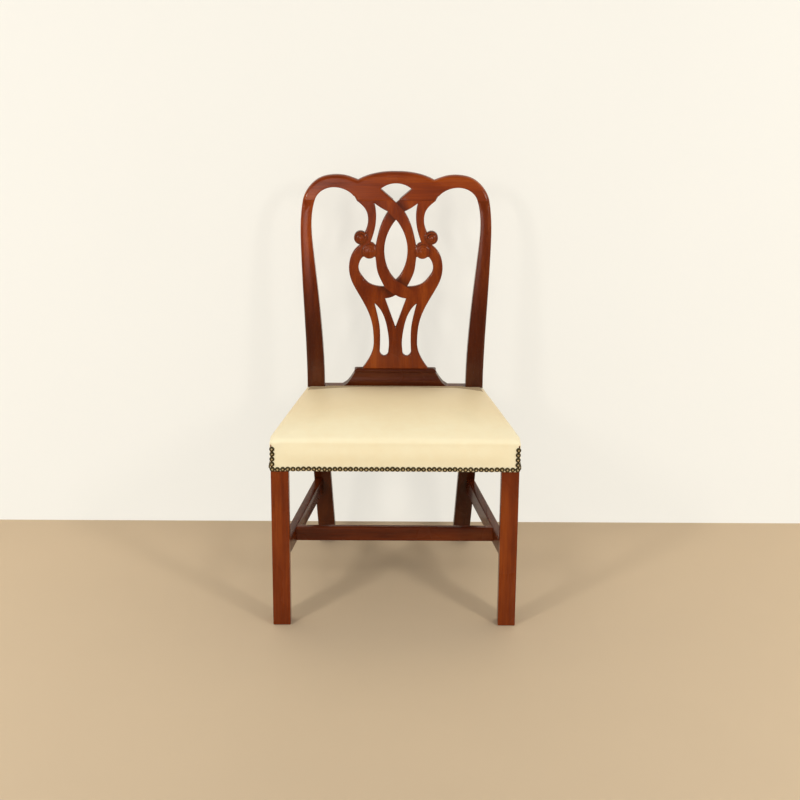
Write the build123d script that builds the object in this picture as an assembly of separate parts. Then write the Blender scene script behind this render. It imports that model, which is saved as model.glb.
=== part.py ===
from build123d import *
import math
import os

# A side chair: a mahogany frame with a pierced splat, and a seat stuffed over its rails.
# Lengths are in millimetres. +Z is up, the front faces -Y and left is -X, seen from the front.
# The origin lies on the floor, under the middle of the chair's width and depth.

# Driving dimensions of the whole chair
overall_height = 965.0
seat_width = 560.0
seat_depth = 394.0
back_width = 428.0
foot_width = 382.5
shoulder_width = 458.6
foot_kick = 88.0
back_rake = 80.0

# Seat rails
rail_top = 447.0
rail_height = 62.0
rail_thickness = 24.0
rear_rail_thickness = 44.0

# Front legs
leg_size = 40.0
foot_chamfer = 2.0

# Rear posts: one piece from the foot to the crest rail
post_width = 41.7
foot_depth = 36.0
post_depth = 38.0
top_depth = 20.0
leg_bow = 12.0
back_bow = 10.0

# Crest rail, splat and the shoe that the splat stands in
crest_height = 66.0
splat_width = 226.0
splat_thickness = 14.0
splat_setback = 16.0
upper_scroll_radius = 15.8
lower_scroll_radius = 17.2
upper_scroll_rise = 2.0
lower_scroll_rise = 1.0
shoe_width = 256.0
shoe_height = 44.0
shoe_depth = 27.0
shoe_end_taper = 37.5
shoe_front_taper = 5.5

# Stretchers
stretcher_top = 195.0
side_stretcher_height = 38.0
side_stretcher_thickness = 19.5
side_stretcher_front_inset = 17.0
side_stretcher_rear_inset = 1.0
cross_stretcher_height = 34.0
cross_stretcher_thickness = 17.0
cross_stretcher_setback = 119.0

# Joinery: tenons and the glue space round them
rail_tenon_thickness = 9.0
rail_tenon_length = 22.0
rail_tenon_shoulder = 8.0
side_tenon_length = 19.0
stretcher_tenon_thickness = 8.0
stretcher_tenon_length = 20.0
stretcher_tenon_shoulder = 6.0
cross_tenon_length = 12.0
back_tenon_thickness = 8.0
back_tenon_length = 16.0
back_tenon_root = 2.0
stile_tenon_share = 0.7
stile_tenon_width = 14.0
splat_top_tenon_width = 28.0
splat_foot_tenon_width = 110.0
glue_gap = 0.1
mortise_end_gap = 0.8

# Corner blocks and their screws
block_size = 62.0
block_height = 40.0
block_drop = 10.0
screw_radius = 2.0
screw_length = 34.0
screw_head_radius = 4.0
screw_head_height = 2.6
screw_inset_share = 0.36

# Webbing, hessian and the stuffed pad
strap_width = 50.0
strap_thickness = 1.5
strap_inset = 6.0
strap_end_slope = 6.0
hessian_thickness = 1.0
tack_head_radius = 3.2
tack_head_height = 0.8
tack_radius = 0.8
tack_length = 9.0
tacks_per_end = 3
edge_height = 449.0
shoulder_height = 459.0
crown_rise = 12.5
edge_radius = 13.0
side_swell = 2.5
plain_band = 12.0
bare_rail_strip = 30.0

# Leather cover, its nails and the cloth under the seat
leather_thickness = 1.2
cloth_gap = 0.3
nail_radius = 5.5
nail_height = 3.0
nail_shank_radius = 0.9
nail_shank_length = 11.0
nail_pitch = 11.75
nails_up_each_corner = 4
dust_cover_thickness = 0.8
dust_cover_inset = 9.0
dust_tacks_per_side = 6
bore_gap = 0.05
overrun = 5.0

# What follows from the sizes above
rail_bottom = rail_top - rail_height
crest_joint = overall_height - crest_height
splat_base = rail_top + shoe_height
leather_skin = cloth_gap + leather_thickness
overall_depth = leather_skin + nail_height + seat_depth + foot_kick + foot_depth
front_face = leather_skin + nail_height - overall_depth / 2
webbing_top = rail_top + strap_thickness * 2
pad_bottom = webbing_top + hessian_thickness + cloth_gap
pad_back = seat_depth + post_depth - bare_rail_strip - leather_skin
splay = (back_width - foot_width) / 2 / rail_top
side_slope = (seat_width - back_width + splay * rail_height) / 2 / (seat_depth - leg_size)
sides = {"left": -1, "right": 1}


def y_at(depth):
    """Y of a point this far behind the front face of the front legs."""
    return front_face + depth


# The back's curved faces, seen from the side. A face is given by its two ends, each a pair of
# (depth behind the front, height), and by how far its middle bows forward.

foot_face = ((seat_depth + foot_kick, 0), (seat_depth, rail_bottom), leg_bow)
foot_rear = (
    (seat_depth + foot_kick + foot_depth, 0),
    (seat_depth + post_depth, rail_bottom),
    leg_bow,
)
back_face = ((seat_depth, rail_top), (seat_depth + back_rake, overall_height), back_bow)
back_rear = (
    (seat_depth + post_depth, rail_top),
    (seat_depth + back_rake + top_depth, overall_height),
    back_bow,
)


def face_middle(face):
    """Middle point of a curved face."""
    (low_depth, low_height), (high_depth, high_height), bow = face
    return (low_depth + high_depth) / 2 - bow, (low_height + high_height) / 2


def face_depth(face, height):
    """How far behind the front a curved face lies at a height, on its circle."""
    low, high, _ = face
    middle = face_middle(face)
    half_chord = math.dist(low, high) / 2
    chord_middle = ((low[0] + high[0]) / 2, (low[1] + high[1]) / 2)
    lean = math.atan2(high[0] - low[0], high[1] - low[1])
    sagitta = math.dist(middle, chord_middle) * math.cos(lean)
    radius = (half_chord**2 + sagitta**2) / (sagitta * 2)
    centre_depth = chord_middle[0] + (radius - sagitta) * math.cos(lean)
    centre_height = chord_middle[1] - (radius - sagitta) * math.sin(lean)
    return centre_depth - math.sqrt(radius**2 - (height - centre_height) ** 2)


def on_circle(face):
    """The same face, with its middle point exactly on the circle that face_depth uses."""
    low, high, _ = face
    middle_height = (low[1] + high[1]) / 2
    return ThreePointArc(low, (face_depth(face, middle_height), middle_height), high)


def side_slab(front_edges, rear_edges, half_width):
    """A solid across the chair, between front and rear outlines seen from the side."""
    front_low, front_high = front_edges[0] @ 0, front_edges[-1] @ 1
    rear_low, rear_high = rear_edges[0] @ 0, rear_edges[-1] @ 1
    ends = [Line(front_low, rear_low), Line(front_high, rear_high)]
    outline = make_face([*front_edges, *rear_edges, *ends])
    section = Pos(0, front_face, 0) * (Plane.YZ * outline)
    return extrude(section, amount=half_width, dir=(1, 0, 0), both=True)


def post_slab():
    """The side view of the rear posts, from the feet to the top of the crest rail."""
    front = [
        on_circle(foot_face),
        Line(foot_face[1], back_face[0]),
        on_circle(back_face),
    ]
    rear = [
        on_circle(foot_rear),
        Line(foot_rear[1], back_rear[0]),
        on_circle(back_rear),
    ]
    return side_slab(front, rear, shoulder_width)


def through_back(outline):
    """A prism through the whole depth of the chair, from an outline seen from the front."""
    return extrude(Plane.XZ * outline, amount=overall_depth, dir=(0, 1, 0), both=True)


def run_of_edges(points):
    """A straight line through two points, or a smooth curve through more."""
    return Line(*points) if len(points) == 2 else Spline(*points)


def edges_along(runs):
    """Edges along runs of points. The first run is the starting point alone."""
    return [run_of_edges([before[-1], *run]) for before, run in zip(runs, runs[1:])]


def outline_from(runs):
    """A closed face round runs of points, closed by a straight line where they end apart."""
    edges = edges_along(runs)
    start, end = runs[0][0], runs[-1][-1]
    if start != end:
        edges.append(Line(end, start))
    return make_face(edges)


# Rear posts, seen from the front. Rows of shares, from the seat to the crest rail: height,
# how much of the way the outer edge has gone from the seat's width to the shoulders' width,
# and how much of the post's width is left.
stile_shares = [
    (0.34, 0.35, 0.945),
    (0.60, 0.77, 0.81),
    (0.73, 0.94, 0.707),
    (0.886, 0.995, 0.62),
    (1.0, 0.64, 0.69),
]


def stile_edges():
    """Points up the outer and the inner edge of the right stile, above the seat."""
    outer, inner = [], []
    for height_share, spread_share, width_share in stile_shares:
        height = rail_top + (crest_joint - rail_top) * height_share
        edge = back_width / 2 + (shoulder_width - back_width) / 2 * spread_share
        outer.append((edge, height))
        inner.append((edge - post_width * width_share, height))
    return outer, inner


stile_outer, stile_inner = stile_edges()
stile_joint_outer = stile_outer[-1][0]
stile_joint_inner = stile_inner[-1][0]
stile_joint_middle = (stile_joint_outer + stile_joint_inner) / 2


def post_outline():
    """The right rear post seen from the front."""
    foot_outer = foot_width / 2
    seat_outer = back_width / 2
    runs = [
        [(foot_outer, 0)],
        [(seat_outer, rail_top)],
        stile_outer,
        [(stile_joint_inner, crest_joint)],
        [*reversed(stile_inner[:-1]), (seat_outer - post_width, rail_top)],
        [(foot_outer - post_width, 0)],
    ]
    return outline_from(runs)


def back_tenon(x, face, height, width, length, gap=0.0, way=1):
    """A tenon at a joint at a height of the back, leaning as the back does there. It reaches up
    from the joint, or down where way is -1. Its short root lies in its own piece."""
    depth = face_depth(face, height)
    step = length / 2
    lean = math.atan2(face_depth(face, height + step) - depth, step)
    thickness = back_tenon_thickness + gap * 2
    reach = length + (mortise_end_gap if gap else 0)
    middle = depth + splat_thickness / 2
    at_joint = Pos(x, y_at(middle), height) * Rot(-math.degrees(lean), 0, 0)
    centre = Pos(0, 0, way * (reach - back_tenon_root) / 2)
    return at_joint * centre * Box(width + gap * 2, thickness, reach + back_tenon_root)


def stile_tenon(side, gap=0.0):
    inset = (stile_joint_middle - stile_joint_inner) * stile_tenon_share
    x = side * (stile_joint_inner + inset)
    return back_tenon(x, back_face, crest_joint, stile_tenon_width, back_tenon_length, gap)


# Seat rails. Each has a tongue that runs through it and ends as its two tenons, so that the
# mortises are cut with the same tongue, a little larger.


def side_rail_axis(depth):
    """Distance of a side rail's middle line from the centre of the chair, at a depth."""
    outer = seat_width / 2 - side_slope * (depth - leg_size)
    return outer - rail_thickness / 2 * math.hypot(1, side_slope)


def slanted_bar(axis, slope, thickness, low, high, front, back):
    """A bar on the right of the chair, in plan a parallelogram round a slanted line."""
    half = thickness / 2 * math.hypot(1, slope)
    corners = [
        (axis(front) - half, y_at(front)),
        (axis(front) + half, y_at(front)),
        (axis(back) + half, y_at(back)),
        (axis(back) - half, y_at(back)),
    ]
    plan = Pos(0, 0, low) * make_face(Polyline(*corners, close=True))
    return extrude(plan, amount=high - low)


def mirrored(solid, side):
    """A solid made for the right of the chair, or its mirror image for the left."""
    return solid if side > 0 else mirror(solid, about=Plane.YZ)


def side_rail_tongue(gap=0.0):
    reach = side_tenon_length + (mortise_end_gap if gap else 0)
    low = rail_bottom + rail_tenon_shoulder - gap
    high = rail_top - rail_tenon_shoulder + gap
    front, back = leg_size - reach, seat_depth + reach
    thickness = rail_tenon_thickness + gap * 2
    return slanted_bar(side_rail_axis, side_slope, thickness, low, high, front, back)


def side_rail():
    body = slanted_bar(
        side_rail_axis, side_slope, rail_thickness, rail_bottom, rail_top, leg_size, seat_depth
    )
    return body + side_rail_tongue()


def rail_tongue(half_length, depth, gap=0.0):
    """The tongue of the front or the rear rail, centred on a depth."""
    reach = half_length + rail_tenon_length + (mortise_end_gap if gap else 0)
    height = rail_height - rail_tenon_shoulder * 2 + gap * 2
    middle = rail_bottom + rail_height / 2
    return Pos(0, y_at(depth), middle) * Box(reach * 2, rail_tenon_thickness + gap * 2, height)


def front_rail_tongue(gap=0.0):
    return rail_tongue(seat_width / 2 - leg_size, rail_thickness / 2, gap)


def front_rail():
    length = seat_width - leg_size * 2
    middle = rail_bottom + rail_height / 2
    body = Pos(0, y_at(rail_thickness / 2), middle) * Box(length, rail_thickness, rail_height)
    return body + front_rail_tongue()


def post_inner(height):
    """Distance of a post's inner face from the centre of the chair, at or below the seat."""
    return foot_width / 2 + splay * height - post_width


def rear_rail_tongue(gap=0.0):
    depth = seat_depth + post_depth - rail_tenon_thickness
    return rail_tongue(post_inner(rail_bottom), depth, gap)


def rear_rail():
    low, high = post_inner(rail_bottom), post_inner(rail_top)
    corners = [(-low, rail_bottom), (low, rail_bottom), (high, rail_top), (-high, rail_top)]
    face = Plane.XZ * make_face(Polyline(*corners, close=True))
    body = extrude(face, amount=rear_rail_thickness, dir=(0, 1, 0))
    return Pos(0, y_at(seat_depth + post_depth - rear_rail_thickness), 0) * body + rear_rail_tongue()


# Stretchers. The side ones slant in towards the back, and the cross one stands between them.

stretcher_bottom = stretcher_top - side_stretcher_height
stretcher_middle = stretcher_top - side_stretcher_height / 2
stretcher_back = face_depth(foot_face, stretcher_middle)
stretcher_front_x = seat_width / 2 - side_stretcher_front_inset - side_stretcher_thickness / 2
stretcher_rear_x = (
    foot_width / 2
    + splay * stretcher_middle
    - side_stretcher_rear_inset
    - side_stretcher_thickness / 2
)
stretcher_slope = (stretcher_front_x - stretcher_rear_x) / (stretcher_back - leg_size)


def stretcher_axis(depth):
    """Distance of a side stretcher's middle line from the centre of the chair, at a depth."""
    return stretcher_front_x - stretcher_slope * (depth - leg_size)


def side_stretcher_tongue(gap=0.0):
    reach = stretcher_tenon_length + (mortise_end_gap if gap else 0)
    low = stretcher_bottom + stretcher_tenon_shoulder - gap
    high = stretcher_top - stretcher_tenon_shoulder + gap
    thickness = stretcher_tenon_thickness + gap * 2
    front, back = leg_size - reach, stretcher_back + reach
    return slanted_bar(stretcher_axis, stretcher_slope, thickness, low, high, front, back)


def behind_foot_face():
    """Everything behind the curved front face of the rear legs, drawn forward by the glue."""
    clear = foot_kick + foot_depth + overrun
    rear = [Line((seat_depth + clear, 0), (seat_depth + clear, rail_bottom))]
    block = side_slab([on_circle(foot_face)], rear, seat_width)
    return Pos(0, -glue_gap, 0) * block


def side_stretcher():
    back = stretcher_back + leg_size
    body = slanted_bar(
        stretcher_axis,
        stretcher_slope,
        side_stretcher_thickness,
        stretcher_bottom,
        stretcher_top,
        leg_size,
        back,
    )
    return body - behind_foot_face() + side_stretcher_tongue() - cross_tongue(glue_gap)


def cross_end(depth):
    """Half the length of the cross stretcher at a depth, up to the side stretchers."""
    half = side_stretcher_thickness / 2 * math.hypot(1, stretcher_slope)
    return stretcher_axis(depth) - half


def cross_tongue(gap=0.0):
    middle_depth = cross_stretcher_setback + cross_stretcher_thickness / 2
    reach = cross_end(middle_depth) + cross_tenon_length + (mortise_end_gap if gap else 0)
    height = cross_stretcher_height - stretcher_tenon_shoulder * 2 + gap * 2
    middle = stretcher_top - cross_stretcher_height / 2
    thickness = stretcher_tenon_thickness + gap * 2
    return Pos(0, y_at(middle_depth), middle) * Box(reach * 2, thickness, height)


def cross_stretcher():
    front = cross_stretcher_setback
    back = cross_stretcher_setback + cross_stretcher_thickness
    corners = [
        (-cross_end(front), y_at(front)),
        (cross_end(front), y_at(front)),
        (cross_end(back), y_at(back)),
        (-cross_end(back), y_at(back)),
    ]
    plan = Pos(0, 0, stretcher_top) * make_face(Polyline(*corners, close=True))
    return extrude(plan, amount=-cross_stretcher_height) + cross_tongue()


# Legs and posts, with the mortises that take the rails and stretchers


def front_leg():
    corner = Pos(seat_width / 2 - leg_size / 2, y_at(leg_size / 2), rail_top / 2)
    leg = corner * Box(leg_size, leg_size, rail_top)
    foot_edges = leg.edges().group_by(Axis.Z)[0]
    leg = chamfer(foot_edges, foot_chamfer)
    return leg - front_rail_tongue(glue_gap) - side_rail_tongue(glue_gap) - side_stretcher_tongue(glue_gap)


def rear_post():
    post = through_back(post_outline()) & post_slab()
    mortises = [
        rear_rail_tongue(glue_gap),
        side_rail_tongue(glue_gap),
        side_stretcher_tongue(glue_gap),
    ]
    return post - mortises + stile_tenon(1)


# Splat, seen from the front. Points are pairs of shares: of half the splat's width, from its
# centre line, and of its height, from the shoe to the crest rail. Each run of points starts
# where the one before it ends.

splat_edge_shares = [
    [(0.71, 0)],
    [(0.56, 0.062), (0.486, 0.115), (0.472, 0.195), (0.502, 0.27), (0.578, 0.339),
     (0.701, 0.408), (0.844, 0.476), (0.948, 0.533), (1.0, 0.605), (0.93, 0.69), (0.787, 0.736)],
    [(0.72, 0.77), (0.654, 0.819)],
    [(0.595, 0.888), (0.641, 0.944), (0.747, 0.978), (0.847, 1.0)],
]
neck_shares = [
    [(0.465, 0.985)],
    [(0.32, 0.957), (0.172, 0.936)],
    [(0.3, 0.871), (0.379, 0.804), (0.435, 0.733)],
    [(0.49, 0.752), (0.542, 0.756)],
    [(0.481, 0.804), (0.43, 0.871), (0.43, 0.938), (0.465, 0.985)],
]
almond_shares = [
    [(0, 0.889)],
    [(0.172, 0.811), (0.241, 0.738), (0.235, 0.666), (0.164, 0.598), (0, 0.535)],
]
heart_shares = [
    [(0.703, 0.672)],
    [(0.439, 0.672)],
    [(0.426, 0.647), (0.397, 0.591), (0.334, 0.545), (0.239, 0.494)],
    [(0.415, 0.498), (0.58, 0.516), (0.702, 0.551), (0.786, 0.59), (0.786, 0.63), (0.703, 0.672)],
]
kite_shares = [
    [(0, 0.446)],
    [(0.12, 0.431), (0.229, 0.426)],
    [(0, 0.25)],
]
teardrop_shares = [
    [(0.456, 0.397)],
    [(0.393, 0.328), (0.338, 0.248), (0.328, 0.166), (0.335, 0.108)],
    [(0.309, 0.0845), (0.2445, 0.0745), (0.18, 0.083), (0.154, 0.103)],
    [(0.142, 0.167), (0.172, 0.236), (0.249, 0.317), (0.353, 0.369), (0.456, 0.397)],
]
upper_scroll_share = (0.754, 0.783)
lower_scroll_share = (0.567, 0.703)

# The fan over the splat cuts the crest rail too: shares of half the splat's width, and of the
# crest rail's height above the joint between them.
fan_shares = [
    [(0, -0.092)],
    [(0.337, 0.395)],
    [(0.183, 0.547), (0, 0.603)],
]


def on_splat(share):
    """Place of a pair of shares on the splat."""
    return share[0] * splat_width / 2, splat_base + (crest_joint - splat_base) * share[1]


def on_crest(share):
    """Place of a pair of shares of half the splat's width and the crest rail's height."""
    return share[0] * splat_width / 2, crest_joint + crest_height * share[1]


def placed(runs, place):
    return [[place(point) for point in run] for run in runs]


def both_sides(face):
    return [face, mirror(face, about=Plane.YZ)]


def pierced(runs, place):
    """A hole through the splat and its mirror image."""
    return [through_back(face) for face in both_sides(outline_from(placed(runs, place)))]


def centred_hole(runs, place):
    """A hole whose right half runs from its first point, on the centre line, to its last."""
    half = edges_along(placed(runs, place))
    other = [mirror(edge, about=Plane.YZ) for edge in half]
    return through_back(make_face([*half, *other]))


splat_face = (
    (seat_depth + splat_setback, rail_top),
    (face_depth(back_face, crest_joint), crest_joint),
    back_bow * (crest_joint - rail_top) / (overall_height - rail_top),
)


def splat_slab(rise):
    """The splat's thickness seen from the side, with its front face drawn forward by rise."""
    front = Pos(-rise, 0, 0) * on_circle(splat_face)
    rear = Pos(splat_thickness, 0, 0) * on_circle(splat_face)
    return side_slab([front], [rear], splat_width)


def splat_outline():
    right = placed(splat_edge_shares, on_splat)
    edges = edges_along(right)
    left = [mirror(edge, about=Plane.YZ) for edge in edges]
    foot_x, foot_z = right[0][0]
    top_x, top_z = right[-1][-1]
    ends = [Line((-foot_x, foot_z), (foot_x, foot_z)), Line((-top_x, top_z), (top_x, top_z))]
    return make_face([*edges, *left, *ends])


def scroll_discs(share, radius):
    """Round ends of the scrolls on both sides."""
    disc = Pos(*on_splat(share)) * Circle(radius)
    return [through_back(face) for face in both_sides(disc)]


def splat_foot_tenon(gap=0.0):
    width, length = splat_foot_tenon_width, back_tenon_length
    return back_tenon(0, splat_face, splat_base, width, length, gap, -1)


def splat_top_tenons(gap=0.0):
    x = splat_edge_shares[-1][-1][0] * splat_width / 2 - splat_top_tenon_width * 0.75
    return [
        back_tenon(side * x, splat_face, crest_joint, splat_top_tenon_width, back_tenon_length, gap)
        for side in sides.values()
    ]


def back_splat():
    plate = through_back(splat_outline())
    for runs in (neck_shares, heart_shares, teardrop_shares):
        plate = plate - pierced(runs, on_splat)
    plate = plate - centred_hole(almond_shares, on_splat) - centred_hole(kite_shares, on_splat)
    plate = (plate - centred_hole(fan_shares, on_crest)) & splat_slab(0)
    upper = scroll_discs(upper_scroll_share, upper_scroll_radius)
    lower = scroll_discs(lower_scroll_share, lower_scroll_radius)
    for discs, rise in ((upper, upper_scroll_rise), (lower, lower_scroll_rise)):
        for disc in discs:
            plate = plate + (disc & splat_slab(rise))
    return plate + splat_foot_tenon() + splat_top_tenons()


# Crest rail, seen from the front. The top line runs from the centre to the stile's outer edge:
# shares of that edge's distance from the centre, and of the crest rail's height. The under
# line runs from the splat's corner to the stile's inner edge, in shares of that gap.
crest_top_shares = [
    [(0, 1.0)],
    [(0.125, 0.984), (0.251, 0.91), (0.334, 0.823), (0.407, 0.705)],
    [(0.46, 0.771), (0.543, 0.854), (0.64, 0.884), (0.71, 0.867), (0.805, 0.785),
     (0.917, 0.508), (0.982, 0.174), (1.0, 0)],
]
crest_under_shares = [
    (0.934, 0.19), (0.748, 0.395), (0.536, 0.455), (0.3, 0.39), (0.092, 0.197), (0, 0),
]


def crest_outline():
    splat_corner = splat_edge_shares[-1][-1][0] * splat_width / 2
    gap = stile_joint_inner - splat_corner
    right = placed(
        crest_top_shares,
        lambda share: (share[0] * stile_joint_outer, crest_joint + crest_height * share[1]),
    )
    under = [(splat_corner + gap * x, crest_joint + crest_height * z) for x, z in crest_under_shares]
    edges = edges_along(right)
    edges.append(Line((stile_joint_outer, crest_joint), (stile_joint_inner, crest_joint)))
    edges.append(Spline((stile_joint_inner, crest_joint), *under))
    left = [mirror(edge, about=Plane.YZ) for edge in edges]
    joint = Line((-splat_corner, crest_joint), (splat_corner, crest_joint))
    return make_face([*edges, *left, joint])


def crest_rail():
    rail = through_back(crest_outline()) & post_slab()
    rail = rail - centred_hole(fan_shares, on_crest) - splat_top_tenons(glue_gap)
    return rail - [stile_tenon(side, glue_gap) for side in sides.values()]


# Shoe. Its ends and its front have one moulded profile: shares of the taper and of the height.
shoe_shares = [(1.0, 0), (1.0, 0.06), (0.79, 0.13), (0.55, 0.36), (0.4, 0.56), (0.24, 0.85), (0, 1.0)]


def shoe_profile(base, taper):
    """Points up a moulded edge, from a base that stands this far out."""
    return [(base - taper * (1 - out), rail_top + shoe_height * up) for out, up in shoe_shares]


def splat_shoe():
    ends = shoe_profile(shoe_width / 2, shoe_end_taper)
    curve = [Line(*ends[:2]), Spline(*ends[1:])]
    other = [mirror(edge, about=Plane.YZ) for edge in curve]
    base = Line((-ends[0][0], ends[0][1]), ends[0])
    top = Line((-ends[-1][0], ends[-1][1]), ends[-1])
    seen_from_front = through_back(make_face([*curve, *other, base, top]))
    rear = seat_depth + post_depth
    front = [(rear - out, up) for out, up in shoe_profile(shoe_depth, shoe_front_taper)]
    front_edges = [Line(*front[:2]), Spline(*front[1:])]
    rear_edges = [Line((rear, rail_top), (rear, splat_base))]
    seen_from_side = side_slab(front_edges, rear_edges, shoe_width)
    return (seen_from_front & seen_from_side) - splat_foot_tenon(glue_gap)


# Corner blocks, each glued and screwed to two rails

block_top = rail_top - block_drop


def side_rail_inner(depth):
    """Distance of a side rail's inner face from the centre of the chair, at a depth."""
    return side_rail_axis(depth) - rail_thickness / 2 * math.hypot(1, side_slope)


def block_corner(end):
    """Depth of the rail face that a block stands against, and which way the block reaches."""
    if end == "front":
        return rail_thickness, 1
    return seat_depth + post_depth - rear_rail_thickness, -1


def block_screws(end):
    """Planes of a right block's two screws, at their seats, each pointing out of its rail."""
    depth, reach = block_corner(end)
    inset = block_size * screw_inset_share
    height = block_top - block_height / 2
    across = side_rail_inner(depth) - block_size + inset
    along = depth + reach * (block_size - inset)
    into_side = (-1, -side_slope, 0)
    seat = screw_length / 2
    first = Plane(origin=(across, y_at(depth + reach * seat), height), z_dir=(0, reach, 0))
    second_x = side_rail_inner(along) - seat
    second = Plane(origin=(second_x, y_at(along - side_slope * seat), height), z_dir=into_side)
    return [first, second]


def screw(plane):
    """A wood screw, its head on the plane and its shank behind it."""
    head = Pos(0, 0, screw_head_height / 2) * Cylinder(screw_head_radius, screw_head_height)
    shank = Pos(0, 0, -screw_length / 2) * Cylinder(screw_radius, screw_length)
    return plane.location * (head + shank)


def screw_bore(plane):
    """The hole for a screw, open above its head."""
    depth = screw_length + bore_gap
    shank = Pos(0, 0, -depth / 2) * Cylinder(screw_radius + bore_gap, depth)
    clear = block_size
    head = Pos(0, 0, clear / 2) * Cylinder(screw_head_radius + bore_gap, clear)
    return plane.location * (head + shank)


def corner_block(end):
    depth, reach = block_corner(end)
    far = depth + reach * block_size
    corner_x = side_rail_inner(depth)
    corners = [
        (corner_x, y_at(depth)),
        (corner_x - block_size, y_at(depth)),
        (side_rail_inner(far), y_at(far)),
    ]
    plan = Pos(0, 0, block_top) * make_face(Polyline(*corners, close=True))
    block = extrude(plan, amount=-block_height)
    leg_clear = Pos(seat_width / 2 - leg_size / 2, y_at(leg_size / 2), rail_top / 2)
    block = block - leg_clear * Box(leg_size, leg_size, rail_top)
    return block - [screw_bore(plane) for plane in block_screws(end)]


# Webbing on the rails, with its tacks

strap_x_shares = (-0.25, 0, 0.25)
strap_xs = [share * back_width for share in strap_x_shares]
strap_depth_shares = (0.27, 0.5, 0.73)
strap_depths = [share * seat_depth for share in strap_depth_shares]
webbing_back = pad_back - cloth_gap - strap_inset / 2


def long_strap(x):
    """A strap from the front rail to the rear rail."""
    length = webbing_back - strap_inset
    middle = (webbing_back + strap_inset) / 2
    return Pos(x, y_at(middle), rail_top + strap_thickness / 2) * Box(strap_width, length, strap_thickness)


def strap_reach(depth):
    """Half the length of a cross strap, so that both its corners stay on the side rails."""
    return side_rail_axis(depth + strap_width / 2) + rail_thickness / 2 - strap_inset


def cross_strap(depth):
    """A strap from side to side, over the long ones and down on the side rails."""
    outer = strap_reach(depth)
    inner = side_rail_inner(depth + strap_width / 2)
    upper = rail_top + strap_thickness
    line = [
        (outer, rail_top),
        (inner, rail_top),
        (inner - strap_end_slope, upper),
    ]
    lower_edge = line + [(-x, z) for x, z in reversed(line)]
    upper_edge = [(x, z + strap_thickness) for x, z in reversed(lower_edge)]
    face = Plane.XZ * make_face(Polyline(*lower_edge, *upper_edge, close=True))
    return Pos(0, y_at(depth - strap_width / 2), 0) * extrude(face, amount=strap_width, dir=(0, 1, 0))


def tack_places():
    """Places of the tacks at both ends of every strap."""
    places = []
    steps = [i - (tacks_per_end - 1) / 2 for i in range(tacks_per_end)]
    pitch = strap_width / tacks_per_end
    front_edge = strap_inset * 2
    back_edge = webbing_back - tack_head_radius * 1.5
    for x in strap_xs:
        for depth in (front_edge, back_edge):
            places += [(x + step * pitch, depth) for step in steps]
    for depth in strap_depths:
        reach = strap_reach(depth) - strap_inset
        for side in sides.values():
            places += [(side * reach, depth + step * pitch) for step in steps]
    return places


def tack_planes():
    height = rail_top + strap_thickness
    return [Plane(origin=(x, y_at(depth), height), z_dir=(0, 0, 1)) for x, depth in tack_places()]


def pin(plane, head_radius, head_height, radius, length):
    """A tack: a flat head on the plane and a shank behind it."""
    head = Pos(0, 0, head_height / 2) * Cylinder(head_radius, head_height)
    shank = Pos(0, 0, -length / 2) * Cylinder(radius, length)
    return plane.location * (head + shank)


def bore(plane, radius, length):
    """The hole that a tack or nail leaves in what it is driven through."""
    middle = (overrun - length) / 2
    return plane.location * (Pos(0, 0, middle) * Cylinder(radius + bore_gap, length + overrun))


def tacks(planes):
    return [pin(plane, tack_head_radius, tack_head_height, tack_radius, tack_length) for plane in planes]


def tack_bores(planes):
    return [bore(plane, tack_radius, tack_length + bore_gap) for plane in planes]


# Seat plan: the outline of the frame under the leather, the same on both sides


def seat_half_width(depth):
    """Distance of the frame's outer face from the centre of the chair, at a depth."""
    return seat_width / 2 - side_slope * max(depth - leg_size, 0)


def seat_plan(inset, back, height, thickness):
    """A flat sheet with the outline of the seat frame, drawn in from its edges."""
    depths = [inset, leg_size, back]
    right = [(seat_half_width(depth) - inset, y_at(depth)) for depth in depths]
    left = [(-x, y) for x, y in reversed(right)]
    plan = Pos(0, 0, height) * make_face(Polyline(*right, *left, close=True))
    return extrude(plan, amount=thickness)


def hessian():
    sheet = seat_plan(strap_inset, webbing_back, webbing_top, hessian_thickness)
    return sheet - post_notches(-cloth_gap)


# Stuffed pad and leather. The seat's form is a loft of sections from front to back. Each row
# has the depth share, then shares of the shoulder's rise over the edge and of the crown.
seat_section_shares = [
    (0, 0.06, 0.04),
    (0.008, 0.5, 0.13),
    (0.028, 0.9, 0.3),
    (0.1, 1.05, 0.62),
    (0.3, 1.05, 0.93),
    (0.52, 1.0, 1.0),
    (0.76, 0.85, 0.8),
    (0.92, 0.6, 0.4),
    (1.0, 0.45, 0.1),
]


def seat_section(depth, rise_share, crown_share, skin, bottom):
    """One section across the seat: flat sides, a swell, rounded shoulders and a crown."""
    half = seat_half_width(depth) + skin
    shoulder_rise = (shoulder_height - edge_height) * rise_share
    shoulder = edge_height + shoulder_rise + skin
    crown = shoulder + crown_rise * crown_share
    band = rail_bottom + plain_band
    swell_height = (band + edge_height) / 2
    arc_share = math.sqrt(0.5)
    edge_x = half - edge_radius
    bend = (edge_x + edge_radius * arc_share, edge_height + (shoulder - edge_height) * arc_share)
    right = [
        Line((half, bottom), (half, band)),
        ThreePointArc((half, band), (half + side_swell, swell_height), (half, edge_height)),
        ThreePointArc((half, edge_height), bend, (edge_x, shoulder)),
    ]
    left = [mirror(edge, about=Plane.YZ) for edge in right]
    crown_arc = ThreePointArc((edge_x, shoulder), (0, crown), (-edge_x, shoulder))
    base = Line((-half, bottom), (half, bottom))
    return Pos(0, y_at(depth), 0) * (Plane.XZ * make_face([*right, crown_arc, *left, base]))


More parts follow.
